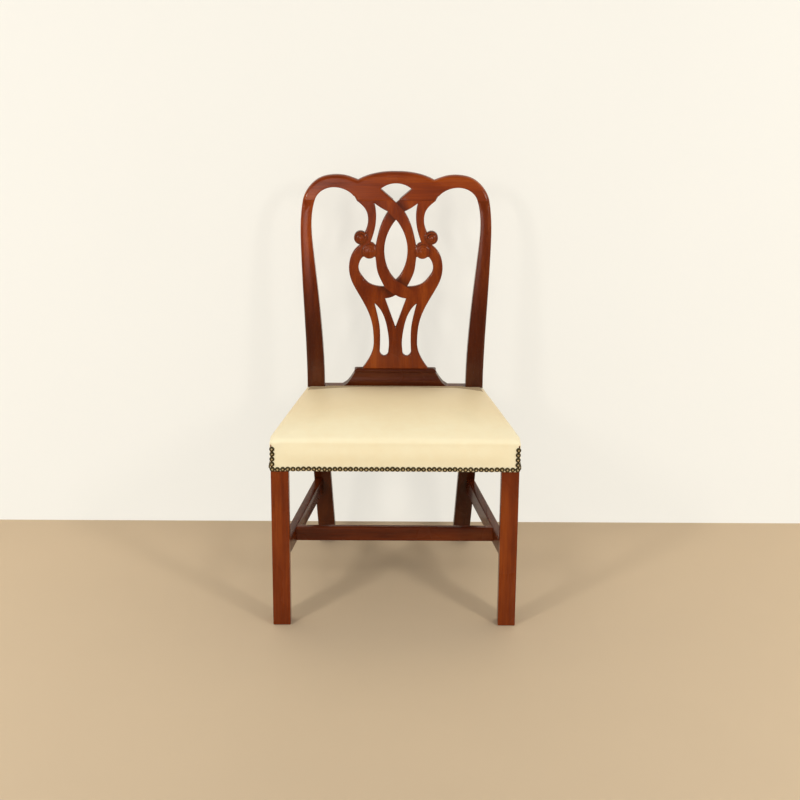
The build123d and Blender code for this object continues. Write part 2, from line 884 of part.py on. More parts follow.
def post_notches(skin):
    """What the seat leaves free round the rear posts, less a skin of this thickness."""
    clear = leather_skin + cloth_gap - skin
    notches = []
    for side in sides.values():
        inner = post_inner(rail_bottom) - clear
        width = post_width * 2
        depth = post_depth + overrun
        height = overall_height
        x = side * (inner + width / 2)
        y = y_at(seat_depth - clear + depth / 2)
        notches.append(Pos(x, y, height / 2) * Box(width, depth, height))
    return notches


def seat_form(skin, bottom):
    """The seat's outer form, drawn outwards by a skin."""
    sections = []
    for depth_share, rise_share, crown_share in seat_section_shares:
        depth = pad_back * depth_share + skin * (depth_share * 2 - 1)
        sections.append(seat_section(depth, rise_share, crown_share, skin, bottom))
    return loft(sections, ruled=True) - post_notches(skin)


def seat_pad():
    block = seat_form(0, rail_bottom - overrun)
    below = Pos(0, 0, (rail_top + cloth_gap) / 2) * Box(
        seat_width * 2, overall_depth * 2, rail_top + cloth_gap
    )
    recess = seat_plan(strap_inset - cloth_gap, webbing_back + cloth_gap, rail_top, pad_bottom - rail_top)
    return block - below - recess


def seat_leather():
    shell = seat_form(leather_skin, rail_bottom) - seat_form(cloth_gap, rail_bottom - overrun)
    frame_height = rail_height + overrun + cloth_gap
    frame = seat_plan(-cloth_gap, seat_depth + post_depth, rail_bottom - overrun, frame_height)
    return shell - frame - [nail_bore(plane) for plane in all_nail_planes()]


# Brass nails along the lower edge of the leather and up its front corners

nail_height_up = rail_bottom + nail_radius


def nail():
    """A domed nail, its head on the XY plane and its shank below."""
    sphere_radius = (nail_radius**2 + nail_height**2) / (nail_height * 2)
    bend = math.radians(45) * nail_radius / sphere_radius
    halfway = (
        sphere_radius * math.sin(bend),
        nail_height - sphere_radius * (1 - math.cos(bend)),
    )
    outline = [
        ThreePointArc((0, nail_height), halfway, (nail_radius, 0)),
        Line((nail_radius, 0), (nail_shank_radius, 0)),
        Line((nail_shank_radius, 0), (nail_shank_radius, -nail_shank_length)),
        Line((nail_shank_radius, -nail_shank_length), (0, -nail_shank_length - nail_shank_radius)),
        Line((0, -nail_shank_length - nail_shank_radius), (0, nail_height)),
    ]
    return revolve(Plane.XZ * make_face(outline), axis=Axis.Z)


def nail_bore(plane):
    return bore(plane, nail_shank_radius, nail_shank_length + nail_shank_radius + bore_gap)


def front_nail_planes():
    """The front row, and a short column over each end of it."""
    end = seat_width / 2 + leather_skin - nail_radius
    gaps = round(end * 2 / nail_pitch)
    places = [(-end + end * 2 * i / gaps, nail_height_up) for i in range(gaps + 1)]
    for side in sides.values():
        places += [
            (side * end, nail_height_up + nail_pitch * (i + 1)) for i in range(nails_up_each_corner)
        ]
    face = y_at(-leather_skin)
    return [Plane(origin=(x, face, z), z_dir=(0, -1, 0)) for x, z in places]


def side_nail_planes(side):
    """The row along one side, first over the leg and then along the slanted rail."""
    planes = []
    slant = math.hypot(1, side_slope)
    start = nail_shank_length + nail_shank_radius * 2
    leg_run = leg_size - start
    rail_run = (seat_depth - leg_size) * slant - nail_radius - cloth_gap
    count = int((leg_run + rail_run) / nail_pitch)
    for i in range(count + 1):
        along = nail_pitch * i
        if along <= leg_run:
            depth = start + along
            normal = (side, 0, 0)
            x = seat_width / 2 + leather_skin
            y = y_at(depth)
        else:
            depth = leg_size + (along - leg_run) / slant
            normal = (side, side_slope, 0)
            x = seat_half_width(depth) + leather_skin
            y = y_at(depth)
        planes.append(Plane(origin=(side * x, y, nail_height_up), z_dir=normal))
    return planes


def all_nail_planes():
    planes = front_nail_planes()
    for side in sides.values():
        planes += side_nail_planes(side)
    return planes


def nails(planes):
    one = nail()
    return [plane.location * one for plane in planes]


# Cloth under the seat, with its tacks


def dust_cover():
    top = rail_bottom - cloth_gap
    back = seat_depth + post_depth - dust_cover_inset
    sheet = seat_plan(dust_cover_inset, back, top - dust_cover_thickness, dust_cover_thickness)
    legs = []
    for side in sides.values():
        x = side * (seat_width - leg_size) / 2
        half_leg = leg_size / 2
        clear = leg_size + cloth_gap * 2
        legs.append(Pos(x, y_at(half_leg), top) * Box(clear, clear, rail_height))
    return sheet - legs - post_notches(leather_skin) - tack_bores(dust_tack_planes())


def dust_tack_planes():
    """Tacks up through the edge of the cloth, along all four rails."""
    places = []
    steps = [(i + 0.5) / dust_tacks_per_side for i in range(dust_tacks_per_side)]
    front_half = seat_width / 2 - leg_size - dust_cover_inset
    rear_half = post_inner(rail_bottom) - dust_cover_inset
    rear = seat_depth + post_depth - rear_rail_thickness / 2
    for step in steps:
        places.append((front_half * (step * 2 - 1), rail_thickness * 0.7))
        places.append((rear_half * (step * 2 - 1), rear))
        depth = leg_size + (seat_depth - leg_size) * step
        for side in sides.values():
            places.append((side * (side_rail_axis(depth) - rail_thickness * 0.2), depth))
    height = rail_bottom - cloth_gap - dust_cover_thickness
    return [Plane(origin=(x, y_at(depth), height), z_dir=(0, 0, -1)) for x, depth in places]


# Export: one file for each node


def save(name, shapes):
    """Write one node, from a solid or a list of solids."""
    solids = shapes if isinstance(shapes, list) else [shapes]
    node = Compound(children=[solid for shape in solids for solid in shape.solids()])
    node.label = name
    export_step(node, os.path.join("parts", name + ".step"))


def build_frame():
    front_nail_bores = [nail_bore(plane) for plane in front_nail_planes()]
    strap_bores = tack_bores(tack_planes())
    cover_bores = tack_bores(dust_tack_planes())
    front_screws = [screw_bore(plane) for plane in block_screws("front")]
    rear_screws = [screw_bore(plane) for plane in block_screws("rear")]
    for name, side in sides.items():
        side_bores = [nail_bore(plane) for plane in side_nail_planes(side)]
        screws = [mirrored(bore_shape, side) for bore_shape in front_screws + rear_screws]
        save("front_leg_" + name, mirrored(front_leg(), side) - front_nail_bores - side_bores)
        save("rear_post_" + name, mirrored(rear_post(), side))
        rail = mirrored(side_rail(), side) - side_bores - strap_bores - cover_bores - screws
        save("side_seat_rail_" + name, rail)
        save("side_stretcher_" + name, mirrored(side_stretcher(), side))
        for end in ("front", "rear"):
            save("corner_block_" + end + "_" + name, mirrored(corner_block(end), side))
    both_front = front_screws + [mirrored(bore_shape, -1) for bore_shape in front_screws]
    both_rear = rear_screws + [mirrored(bore_shape, -1) for bore_shape in rear_screws]
    save("front_seat_rail", front_rail() - front_nail_bores - strap_bores - cover_bores - both_front)
    save("rear_seat_rail", rear_rail() - strap_bores - cover_bores - both_rear)
    save("cross_stretcher", cross_stretcher())


def build_back():
    save("crest_rail", crest_rail())
    save("back_splat", back_splat())
    save("splat_shoe", splat_shoe())


def build_seat():
    strap_bores = tack_bores(tack_planes())
    save("webbing_front_to_back", [long_strap(x) - strap_bores for x in strap_xs])
    save("webbing_side_to_side", [cross_strap(depth) - strap_bores for depth in strap_depths])
    save("webbing_tacks", tacks(tack_planes()))
    save("seat_hessian", hessian())
    save("seat_pad", seat_pad())
    save("seat_leather", seat_leather())
    save("dust_cover", dust_cover())
    save("dust_cover_tacks", tacks(dust_tack_planes()))


def build_fasteners():
    screws = [screw(plane) for end in ("front", "rear") for plane in block_screws(end)]
    save("corner_block_screws", screws + [mirrored(each, -1) for each in screws])
    save("brass_nails_front", nails(front_nail_planes()))
    for name, side in sides.items():
        save("brass_nails_" + name, nails(side_nail_planes(side)))


os.makedirs("parts", exist_ok=True)
build_frame()
build_back()
build_seat()
build_fasteners()
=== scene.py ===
# %% [markdown]
# # A mahogany side chair, dressed over its joiner's frame
#
# The frame is a finished set of solids: legs, posts, rails, stretchers, a pierced splat and a
# seat nailed in leather. This lesson keeps that frame as it stands and gives it its surfaces.
# Each step first says what the piece is on the real chair, then how it is made here.

# %% Open the frame
import math
from contextlib import contextmanager
from functools import partialmethod

import bmesh
import bpy
import numpy as np
from mathutils import Matrix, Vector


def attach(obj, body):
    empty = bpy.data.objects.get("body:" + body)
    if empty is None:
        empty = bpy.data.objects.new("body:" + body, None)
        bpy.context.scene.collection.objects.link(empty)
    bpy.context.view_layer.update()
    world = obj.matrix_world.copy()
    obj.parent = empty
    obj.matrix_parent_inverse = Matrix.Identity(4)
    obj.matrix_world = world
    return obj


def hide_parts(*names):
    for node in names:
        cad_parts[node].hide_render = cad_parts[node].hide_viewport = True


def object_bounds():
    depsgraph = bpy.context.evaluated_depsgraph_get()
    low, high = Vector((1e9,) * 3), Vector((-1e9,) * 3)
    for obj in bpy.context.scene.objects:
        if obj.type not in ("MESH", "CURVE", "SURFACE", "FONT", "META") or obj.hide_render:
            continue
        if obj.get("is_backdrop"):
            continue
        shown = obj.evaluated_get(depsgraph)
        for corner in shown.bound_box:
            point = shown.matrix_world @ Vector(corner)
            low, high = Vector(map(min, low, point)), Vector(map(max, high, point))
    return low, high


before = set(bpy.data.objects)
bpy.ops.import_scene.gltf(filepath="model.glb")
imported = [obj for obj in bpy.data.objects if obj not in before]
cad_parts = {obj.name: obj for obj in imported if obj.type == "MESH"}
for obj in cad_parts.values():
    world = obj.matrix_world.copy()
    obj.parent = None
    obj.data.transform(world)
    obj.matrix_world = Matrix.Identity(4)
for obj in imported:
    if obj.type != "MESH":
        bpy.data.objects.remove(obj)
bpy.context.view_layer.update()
print("nodes in the frame:", len(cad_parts))

# %% [markdown]
# ## The chair's own sizes
#
# The back leans on two arcs: the front of the posts, and the front of the splat a little
# behind it. The seat narrows towards the back. All the pieces below ask the same few
# functions where a surface is, so that they meet.

# %% Sizes in metres, as on the drawing
mm = 0.001
overall_height = 965 * mm
crest_joint = 899 * mm
rail_top = 447 * mm
rail_bottom = 385 * mm
splat_foot = 491 * mm
front_face = -256.75 * mm
seat_depth = 394 * mm
leg_size = 40 * mm
seat_half = 280 * mm
rear_seat_half = 211.7 * mm
side_slope = (seat_half - rear_seat_half) / (seat_depth - leg_size)
splat_half = 113 * mm
splat_thickness = 14 * mm
shoe_half, shoe_height, shoe_depth = 128 * mm, 44 * mm, 27 * mm
leather_out = 1.5 * mm
seat_edge = 449 * mm
seat_back = 400.5 * mm
seat_middle = np.array([0.0, 0.20])


# %% Two curves that come back: a quarter round, and a leaning face
def quarter_round(way):
    """From 0 up to 1 along a quarter of a circle, and then level."""
    return np.sqrt(1 - (1 - np.clip(way, 0, 1)) ** 2)


def rounded(depth_in, radius):
    """How far a rounded edge falls back at a distance from it, on a quarter circle."""
    return radius * (1 - quarter_round(depth_in / radius))


def leaning_face(low, high, bow):
    """How far along Y a face lies, as a function of the height. Seen from the side the face
    is a circle through a low and a high point that are given as (depth, height), bowed
    forward by bow at mid height."""
    low, high = np.array(low), np.array(high)
    middle = (low + high) / 2
    lean = math.atan2(high[0] - low[0], high[1] - low[1])
    half_chord = math.dist(low, high) / 2
    sagitta = bow * math.cos(lean)
    radius = (half_chord**2 + sagitta**2) / (2 * sagitta)
    centre = middle + (radius - sagitta) * np.array([math.cos(lean), -math.sin(lean)])
    return lambda height: front_face + (centre[0] - np.sqrt(radius**2 - (height - centre[1]) ** 2))


back_bow = 10 * mm
post_front = leaning_face((seat_depth, rail_top), (0.474, overall_height), back_bow)
post_back = leaning_face((0.432, rail_top), (0.494, overall_height), back_bow)
splat_arc_top = (float(post_front(crest_joint)) - front_face, crest_joint)
splat_bow = back_bow * (crest_joint - rail_top) / (overall_height - rail_top)
splat_front = leaning_face((0.410, rail_top), splat_arc_top, splat_bow)
print("splat leans from", round(float(splat_front(splat_foot)), 4), "to", splat_arc_top[0])


# %% [markdown]
# ## Shader maths as plain sums
#
# A finish is a sum of patterns. Written as node links it is hard to read, so one small class
# stands for a socket and lets Python's own signs add the Math nodes, and one method makes
# every other node. The sky at the end is made in the same way.

# %% A socket that can be added and multiplied
class Pattern:
    """A value that varies over a surface. Python's signs on it add Math nodes."""

    def __init__(self, nodes, socket):
        self.nodes, self.socket = nodes, socket

    def maths(self, operation, *others):
        values = dict(enumerate((self, *others)))
        return self.nodes.add("Math", {"operation": operation}, values)

    __add__ = __radd__ = partialmethod(maths, "ADD")
    __sub__ = partialmethod(maths, "SUBTRACT")
    __mul__ = __rmul__ = partialmethod(maths, "MULTIPLY")
    wave = partialmethod(maths, "SINE")

    def __rsub__(self, other):
        return self.nodes.add("Math", {"operation": "SUBTRACT"}, {0: other, 1: self})

    def between(self, low, high):
        """0 below low and 1 above high, with a soft rise between them."""
        settings = {"interpolation_type": "SMOOTHSTEP"}
        return self.nodes.add("MapRange", settings, {0: self, 1: low, 2: high})


class Nodes:
    """A tree of nodes, with one method that adds any node to it."""

    def __init__(self, tree):
        self.tree = tree

    def feed(self, socket, value):
        """Links a pattern to a socket, or sets a plain value there."""
        if isinstance(value, Pattern):
            self.tree.links.new(value.socket, socket)
        else:
            socket.default_value = value

    def add(self, kind, settings=(), values=(), output=0):
        made = self.tree.nodes.new("ShaderNode" + kind)
        for key, value in dict(settings).items():
            setattr(made, key, value)
        for key, value in dict(values).items():
            self.feed(made.inputs[key], value)
        return Pattern(self, made.outputs[output])


class Finish(Nodes):
    """A material, and the patterns that finishes are made of."""

    def __init__(self, name):
        self.material = bpy.data.materials.new(name)
        self.material.use_nodes = True
        super().__init__(self.material.node_tree)
        self.shader = self.tree.nodes["Principled BSDF"]
        self.place = self.add("TexCoord", output="Object")

    def along(self, axis):
        """How far along an axis the surface's place is."""
        return self.add("SeparateXYZ", values={0: self.place}, output=axis)

    def drawn_out(self, axis, share):
        """The surface's place, shortened along one axis, so that a noise runs out along it."""
        scale = tuple(share if i == axis else 1.0 for i in range(3))
        return self.add("VectorMath", {"operation": "MULTIPLY"}, {0: self.place, 1: scale})

    def noise(self, place, scale, detail=3.0, roughness=0.5):
        values = {"Vector": place, "Scale": scale, "Detail": detail, "Roughness": roughness}
        return self.add("TexNoise", values=values)

    def ramp(self, amount, stops):
        """A colour for each amount, in proportion between the stops."""
        made = self.add("ValToRGB", values={0: amount})
        elements = made.socket.node.color_ramp.elements
        while len(elements) < len(stops):
            elements.new(0.5)
        for element, (place, colour) in zip(elements, stops):
            element.position, element.color = place, (*colour, 1)
        return made

    def mixed(self, amount, first, second):
        """Two colours, mixed by an amount. Each is a pattern, or red, green and blue."""
        ends = [c if isinstance(c, Pattern) else (*c, 1) for c in (first, second)]
        settings, values = {"data_type": "RGBA"}, {0: amount, 6: ends[0], 7: ends[1]}
        return self.add("Mix", settings, values, output=2)

    def painted_on(self, name):
        """The value that a piece's own attribute gives each of its points."""
        return self.add("Attribute", {"attribute_name": name}, output="Fac")

    def relief(self, height, distance, strength=1.0):
        """A bump whose height of 1 stands this many metres proud."""
        values = {"Height": height, "Distance": distance, "Strength": strength}
        return self.add("Bump", values=values)

    def set(self, **values):
        """Sets the shader's sockets, named with _ for a space."""
        for key, value in values.items():
            self.feed(self.shader.inputs[key.replace("_", " ")], value)
        return self.material


print("the shader has", len(Finish("trial").shader.inputs), "sockets")
bpy.data.materials.remove(bpy.data.materials["trial"])

# %% [markdown]
# ## Polished mahogany
#
# The wood is a straight-grained mahogany under a hard polish. Close to, it has three scales
# of pattern: broad ribbons a few centimetres wide, fine streaks along the grain, and short
# dark pores. Each is one noise, drawn out along the piece. The same recipe serves every
# piece: only the direction of the grain and the depth of colour change. The depths, and the
# darkening low down on the posts and the splat, are painted light and shade.


# %% Mahogany, grained along X, Y or Z
def mahogany(name, axis, depth=1.0, painted_shade_below=None, carved=False):
    """Wood whose grain runs along an axis (0, 1 or 2). A larger depth is a darker colour, and
    the depths paint the light and shade that each piece gets. A painted shade low down is
    given as two heights and a share: under the first height the wood is darkened by that
    share, and above the second it is clear. On carved wood a painted shade darkens the cut
    places, by a share that each point carries."""
    wood = Finish(name)
    grain_place = wood.drawn_out(axis, 0.06)
    ribbons = wood.noise(grain_place, 34.0, 3.0, 0.55)
    streaks = wood.noise(grain_place, 260.0, 4.0, 0.6)
    cloud = wood.noise(wood.place, 7.0, 2.0)
    pores = wood.noise(wood.drawn_out(axis, 0.012), 900.0, 1.0).between(0.62, 0.72)
    tone = ribbons * 0.62 + streaks * 0.26 + cloud * 0.22 - pores * 0.10
    dark, middle, light = (0.090, 0.0110, 0.0008), (0.178, 0.0260, 0.0015), (0.300, 0.0580, 0.0040)
    stops = ((0.36, dark), (0.54, middle), (0.74, light))
    colour = wood.ramp(tone, [(place, tuple(c / depth for c in clear)) for place, clear in stops])
    # The colour of the painted shade, both low down and in the cut places.
    painted_shade_colour = (0.022, 0.0052, 0.0012)
    # Painted shade, darker towards the bottom of the piece.
    if painted_shade_below:
        low, high, share = painted_shade_below
        colour = wood.mixed((1 - wood.along(2).between(low, high)) * share, colour, painted_shade_colour)
    # Painted shade in the cut places, by the share that each point carries.
    if carved:
        colour = wood.mixed(wood.painted_on("recess_shade") * 0.85, colour, painted_shade_colour)
    return wood.set(
        Base_Color=colour,
        Roughness=0.20 + cloud * 0.14 + pores * 0.12,
        Coat_Weight=0.30 - pores * 0.2,
        Coat_Roughness=0.10,
        Specular_IOR_Level=0.14,
        Normal=wood.relief(streaks * 0.5 - pores, 0.00012, 0.5),
    )


# The depths paint the light and shade that each piece gets. The right post, the stretchers, the
# rear rail and the shoe are darker copies, a painted shade. The left post is a lighter copy, a
# painted sheen. The darkening low down on the posts and on the splat is painted shade as well.
leg_wood = mahogany("mahogany_legs", 2, 1.03)
lit_and_shaded_post_woods = {
    "left": mahogany("mahogany_left_post_lit", 2, 0.78, painted_shade_below=(0.58, 0.80, 0.80)),
    "right": mahogany("mahogany_right_post_shaded", 2, 1.25, painted_shade_below=(0.38, 0.92, 0.82)),
}
splat_wood = mahogany("mahogany_splat", 2, 0.84, painted_shade_below=(0.74, 0.90, 0.24), carved=True)
crest_wood = mahogany("mahogany_crest", 0, 0.82, carved=True)
shaded_level_wood = mahogany("mahogany_level_shaded", 0, 1.7)
shaded_front_to_back_wood = mahogany("mahogany_front_to_back_shaded", 1, 2.2)
shaded_shoe_wood = mahogany("mahogany_shoe_shaded", 0, 2.8)
print("mahogany in eight cuts")

# %% [markdown]
# ## Leather, brass and the cloths
#
# The leather is smooth and cream, a little darker in soft patches and towards the back, with
# a fine pebble that only shows close to. The nails are brass with a brown patina, and the
# crown of each head is painted bright: a painted highlight, which also stands for brass
# polished bright with use. The cloths under the seat are all plain weaves, which are two
# crossing waves.


# %% Cream leather
def leather():
    hide = Finish("cream_leather")
    pebble = hide.add("TexVoronoi", {"feature": "F1"}, {"Vector": hide.place, "Scale": 850.0})
    tired = hide.noise(hide.place, 9.0, 3.0)
    mottle = hide.noise(hide.place, 60.0, 3.0)
    # Darker towards the back and in soft patches.
    back = hide.along(1).between(-0.26, 0.14)
    darker_back_and_patches = back * 0.62 + tired * 0.25 + mottle * 0.13
    palest, front, middle = (0.955, 0.875, 0.620), (0.935, 0.825, 0.555), (0.90, 0.765, 0.495)
    rear = (0.885, 0.740, 0.480)
    colour = hide.ramp(darker_back_and_patches, [(0.17, palest), (0.30, front), (0.5, middle), (0.9, rear)])
    return hide.set(
        Base_Color=colour,
        Roughness=0.40 + mottle * 0.12,
        Specular_IOR_Level=0.4,
        Normal=hide.relief(pebble * -0.6 + mottle * 0.4, 0.00018, 0.6),
    )


# %% Antique brass
def antique_brass():
    brass = Finish("antique_brass")
    spots = brass.noise(brass.place, 260.0, 3.0, 0.6)
    each = brass.noise(brass.place, 55.0, 1.0)
    # The crown of each head is painted bright: a painted highlight, which also stands for brass
    # polished bright with use. The patina darkens the rest.
    patina = (spots * 0.3 + each * 0.3 - brass.painted_on("crown")).between(-0.55, -0.18)
    colour = brass.mixed(patina, (0.76, 0.64, 0.40), (0.088, 0.067, 0.029))
    return brass.set(
        Base_Color=colour,
        Metallic=0.94,
        Roughness=0.30 + patina * 0.22,
        Normal=brass.relief(spots, 0.0001, 0.5),
    )


# %% A plain weave, for jute, hessian and the lining under the seat
def woven(name, pitch, dark, light, roughness=0.85):
    cloth = Finish(name)
    turn = math.tau / pitch
    weave = ((cloth.along(0) * turn).wave() * (cloth.along(1) * turn).wave()) * 0.5 + 0.5
    slubs = cloth.noise(cloth.drawn_out(1, 0.1), 700.0, 2.0)
    colour = cloth.mixed(weave * 0.6 + slubs * 0.4, dark, light)
    height = weave * 0.7 + slubs * 0.3
    return cloth.set(
        Base_Color=colour, Roughness=roughness, Normal=cloth.relief(height, pitch * 0.25, 0.8)
    )


# %% Pale wood of the blocks, and the steel of screws and tacks
def plain_wood(name, light, dark, axis):
    wood = Finish(name)
    grain = wood.noise(wood.drawn_out(axis, 0.05), 120.0, 4.0, 0.6)
    saw = wood.noise(wood.drawn_out(2, 0.2), 500.0, 1.0)
    return wood.set(
        Base_Color=wood.ramp(grain, [(0.3, dark), (0.7, light)]),
        Roughness=0.6 + saw * 0.2,
        Normal=wood.relief(saw + grain, 0.0002, 0.6),
    )


def steel(name, colour):
    metal = Finish(name)
    marks = metal.noise(metal.place, 400.0, 3.0, 0.6)
    brightened = tuple(min(1.0, c * 1.6) for c in colour)
    return metal.set(
        Base_Color=metal.mixed(marks, colour, brightened),
        Metallic=1.0,
        Roughness=0.35 + marks * 0.25,
    )


cream_leather = leather()
brass = antique_brass()
jute = woven("jute_webbing", 0.0022, (0.36, 0.26, 0.14), (0.66, 0.53, 0.34))
sacking = woven("hessian", 0.0030, (0.30, 0.21, 0.11), (0.60, 0.46, 0.28))
lining = woven("black_cambric", 0.0009, (0.012, 0.012, 0.013), (0.045, 0.045, 0.050), 0.9)
wadding = woven("stuffing", 0.0060, (0.62, 0.58, 0.48), (0.84, 0.81, 0.72), 0.95)
beech = (0.56, 0.38, 0.21), (0.38, 0.23, 0.11)
rail_timber = plain_wood("rail_wood", *beech, 0)
side_timber = plain_wood("side_rail_wood", *beech, 1)
block_timber = plain_wood("block_wood", (0.66, 0.50, 0.30), (0.50, 0.34, 0.18), 2)
blued = steel("blued_steel", (0.09, 0.10, 0.13))
screw_steel = steel("screw_steel", (0.38, 0.37, 0.35))
print("materials made:", len(bpy.data.materials))


# %% [markdown]
# ## Pieces from arrays
#
# A new piece is worked out as whole arrays of points, and then put in a mesh in one go. A
# grid of points needs only one list of faces, whatever surface it draws.

# %% From arrays to an object that rides on the chair
def grid_faces(rows, columns, closed=False):
    """Faces of a grid of points. closed joins the last column to the first."""
    r = np.arange(rows - 1)[:, None] * columns
    c = np.arange(columns if closed else columns - 1)[None, :]
    after = (c + 1) % columns
    corners = [r + c, r + after, r + columns + after, r + columns + c]
    return np.stack([(corner + 0 * (r + c)).ravel() for corner in corners], axis=1)


def in_scene(name, data):
    """An object at the origin that shows a mesh, a lamp or a camera."""
    made = bpy.data.objects.new(name, data)
    bpy.context.scene.collection.objects.link(made)
    return made


def mesh_object(name, points, faces):
    """A mesh object at the origin, from points (n, 3) and faces (m, 4 or 3)."""
    mesh = bpy.data.meshes.new(name)
    mesh.from_pydata(points.reshape(-1, 3), [], faces.tolist())
    mesh.validate()
    mesh.polygons.foreach_set("use_smooth", np.full(len(mesh.polygons), True))
    return in_scene(name, mesh)


def ringed(name, rings):
    """A mesh object from rings of points (rows, columns, 3), each joined to itself."""
    return mesh_object(name, rings, grid_faces(*rings.shape[:2], closed=True))


def dress(made, material, node):
    """Gives an object its finish, and puts it in a frame node's place on the chair. Prints
    its faces and its size."""
    made.data.materials.clear()
    made.data.materials.append(material)
    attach(made, "root")
    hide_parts(node)
    low, high = np.array(made.bound_box).min(0), np.array(made.bound_box).max(0)
    size = " x ".join(f"{s * 1000:.0f}" for s in high - low)
    print(f"{made.name}: {len(made.data.polygons)} faces, {size} mm")


# %% Read a mesh, and work on it
def points_of(mesh):
    """Where the mesh's vertices are, as an array (n, 3)."""
    co = np.empty(len(mesh.vertices) * 3)
    mesh.vertices.foreach_get("co", co)
    return co.reshape(-1, 3)


def evaluated_mesh(made):
    """The object's mesh with its modifiers' work done."""
    depsgraph = bpy.context.evaluated_depsgraph_get()
    return bpy.data.meshes.new_from_object(made.evaluated_get(depsgraph))


@contextmanager
def opened(mesh):
    """The mesh as a bmesh, which is written back at the end of the with block."""
    work = bmesh.new()
    work.from_mesh(mesh)
    yield work
    work.to_mesh(mesh)
    work.free()


def close_up(mesh, ends=True):
    """Merges the seams and poles of a skin, fills its open ends, and turns it outwards."""
    with opened(mesh) as work:
        bmesh.ops.remove_doubles(work, verts=work.verts, dist=0.00001)
        if ends:
            open_edges = [e for e in work.edges if e.is_boundary]
            bmesh.ops.holes_fill(work, edges=open_edges, sides=0)
        bmesh.ops.recalc_face_normals(work, faces=work.faces)


def thickened(made, thickness, offset):
    """Gives a sheet its thickness: offset -1 is inwards, and 0 half to each side."""
    wall = made.modifiers.new("thickness", "SOLIDIFY")
    wall.thickness, wall.offset = thickness, offset


# %% [markdown]
# ## The joiner's pieces, with their edges eased
#
# On the real chair no edge is left sharp: a plane and sandpaper take the arris off, and the
# polish catches the light there. The outer edge of the crest rail and of the stiles is
# rounded over further, with one sweep of a moulding plane. Each piece is copied from the
# frame, its loose triangles are joined up, and a bevel runs along the chosen edges only, so
# that the joints stay tight.


# %% Choose edges, and bevel them
def fill_level(mesh, caps):
    """Closes the holes that were cut in flat ends. caps are pairs of a normal and a point."""
    with opened(mesh) as work:
        for normal, point in caps:
            rim = [
                e
                for e in work.edges
                if e.is_boundary and all(abs((v.co - point).dot(normal)) < 0.00002 for v in e.verts)
            ]
            if rim:
                bmesh.ops.triangle_fill(work, use_beauty=True, edges=rim, normal=normal)
        return sum(e.is_boundary for e in work.edges)


def eased(node, material, wide, weigh, is_end=lambda normal, centre: False):
    """A copy of a frame node whose sharp edges are rounded. weigh gets the edges' ends and
    their two faces' normals as arrays, and returns a share of wide for each edge. The flat
    ends that is_end picks are taken off first and closed again after, so that the rounding
    runs straight out through them."""
    level, corner, shown_sharp = math.radians(0.6), 0.4, math.radians(32)
    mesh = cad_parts[node].data.copy()
    with opened(mesh) as work:
        verts, edges = work.verts, work.edges
        bmesh.ops.remove_doubles(work, verts=verts, dist=0.00002)
        bmesh.ops.dissolve_limit(work, angle_limit=level, verts=verts, edges=edges)
        bent = np.array([len(e.link_faces) == 2 and e.calc_face_angle() > corner for e in edges])
        ends = np.array([[v.co[:] for v in e.verts] for e in edges])
        sides = np.array([[f.normal[:] for f in (*e.link_faces, *e.link_faces)[:2]] for e in edges])
        layer = edges.layers.float.new("bevel_weight_edge")
        for edge, share in zip(edges, np.where(bent, weigh(ends, sides), 0.0)):
            edge[layer] = share
        flat_ends = [f for f in work.faces if is_end(f.normal, f.calc_center_median())]
        caps = [(f.normal.copy(), f.verts[0].co.copy()) for f in flat_ends]
        bmesh.ops.delete(work, geom=flat_ends, context="FACES_ONLY")
    made = in_scene(node + "_eased", mesh)
    bevel = made.modifiers.new("eased edges", "BEVEL")
    bevel.limit_method, bevel.width, bevel.segments = "WEIGHT", wide, 4
    bevel.use_clamp_overlap, bevel.harden_normals = False, False
    made.data = evaluated_mesh(made)
    made.modifiers.clear()
    left_open = fill_level(made.data, caps)
    faces = made.data.polygons
    faces.foreach_set("material_index", np.zeros(len(faces), np.int32))
    faces.foreach_set("use_smooth", np.full(len(faces), True))
    made.data.set_sharp_from_angle(angle=shown_sharp)
    dress(made, material, node)
    print("   ends closed:", len(caps), "open edges left:", left_open)


# %% Which edges: along a bar, and round the back's outer line
def along(axis):
    """Weighs the edges that run along an axis, and leaves the ends of the bar crisp."""

    def weigh(ends, sides):
        run = ends[:, 1] - ends[:, 0]
        length = np.linalg.norm(run, axis=1) + 1e-9
        return np.where(np.abs(run[:, axis]) > 0.8 * length, 1.0, 0.0)

    return weigh


def sole(normal, centre):
    """Picks the face that a leg stands on."""
    return centre.z < 0.0001


def shoulders(normal, centre):
    """Picks the faces that end the cross stretcher, and its tenons."""
    return abs(normal.x) > 0.96


def at_crest_joint(normal, centre):
    """Picks the level face in the joint between a post and the crest rail."""
    return abs(normal.z) > 0.9 and abs(centre.z - crest_joint) < 0.0005


def back_edges(ends, sides):
    """The outer front edge of a post is rounded over above the seat; all its other edges are
    eased. Edges that lie in the joint with the crest rail are left alone."""
    middle = ends.mean(axis=1)
    x, y, z = middle.T
    joint = np.abs(ends[:, :, 2] - crest_joint).max(axis=1) < 0.0006
    front = np.abs(y - post_front(np.clip(z, rail_top, overall_height))) < 0.0012
    wall = sides[np.arange(len(sides)), np.argmin(np.abs(sides[:, :, 1]), axis=1)]
    outward = (wall[:, 0] * np.sign(x) > 0.3) | ((wall[:, 2] > 0.3) & (z > crest_joint))
    outer = front & outward & (z > 0.50)
    return np.where(joint, 0.0, np.where(outer, 1.0, 0.22))


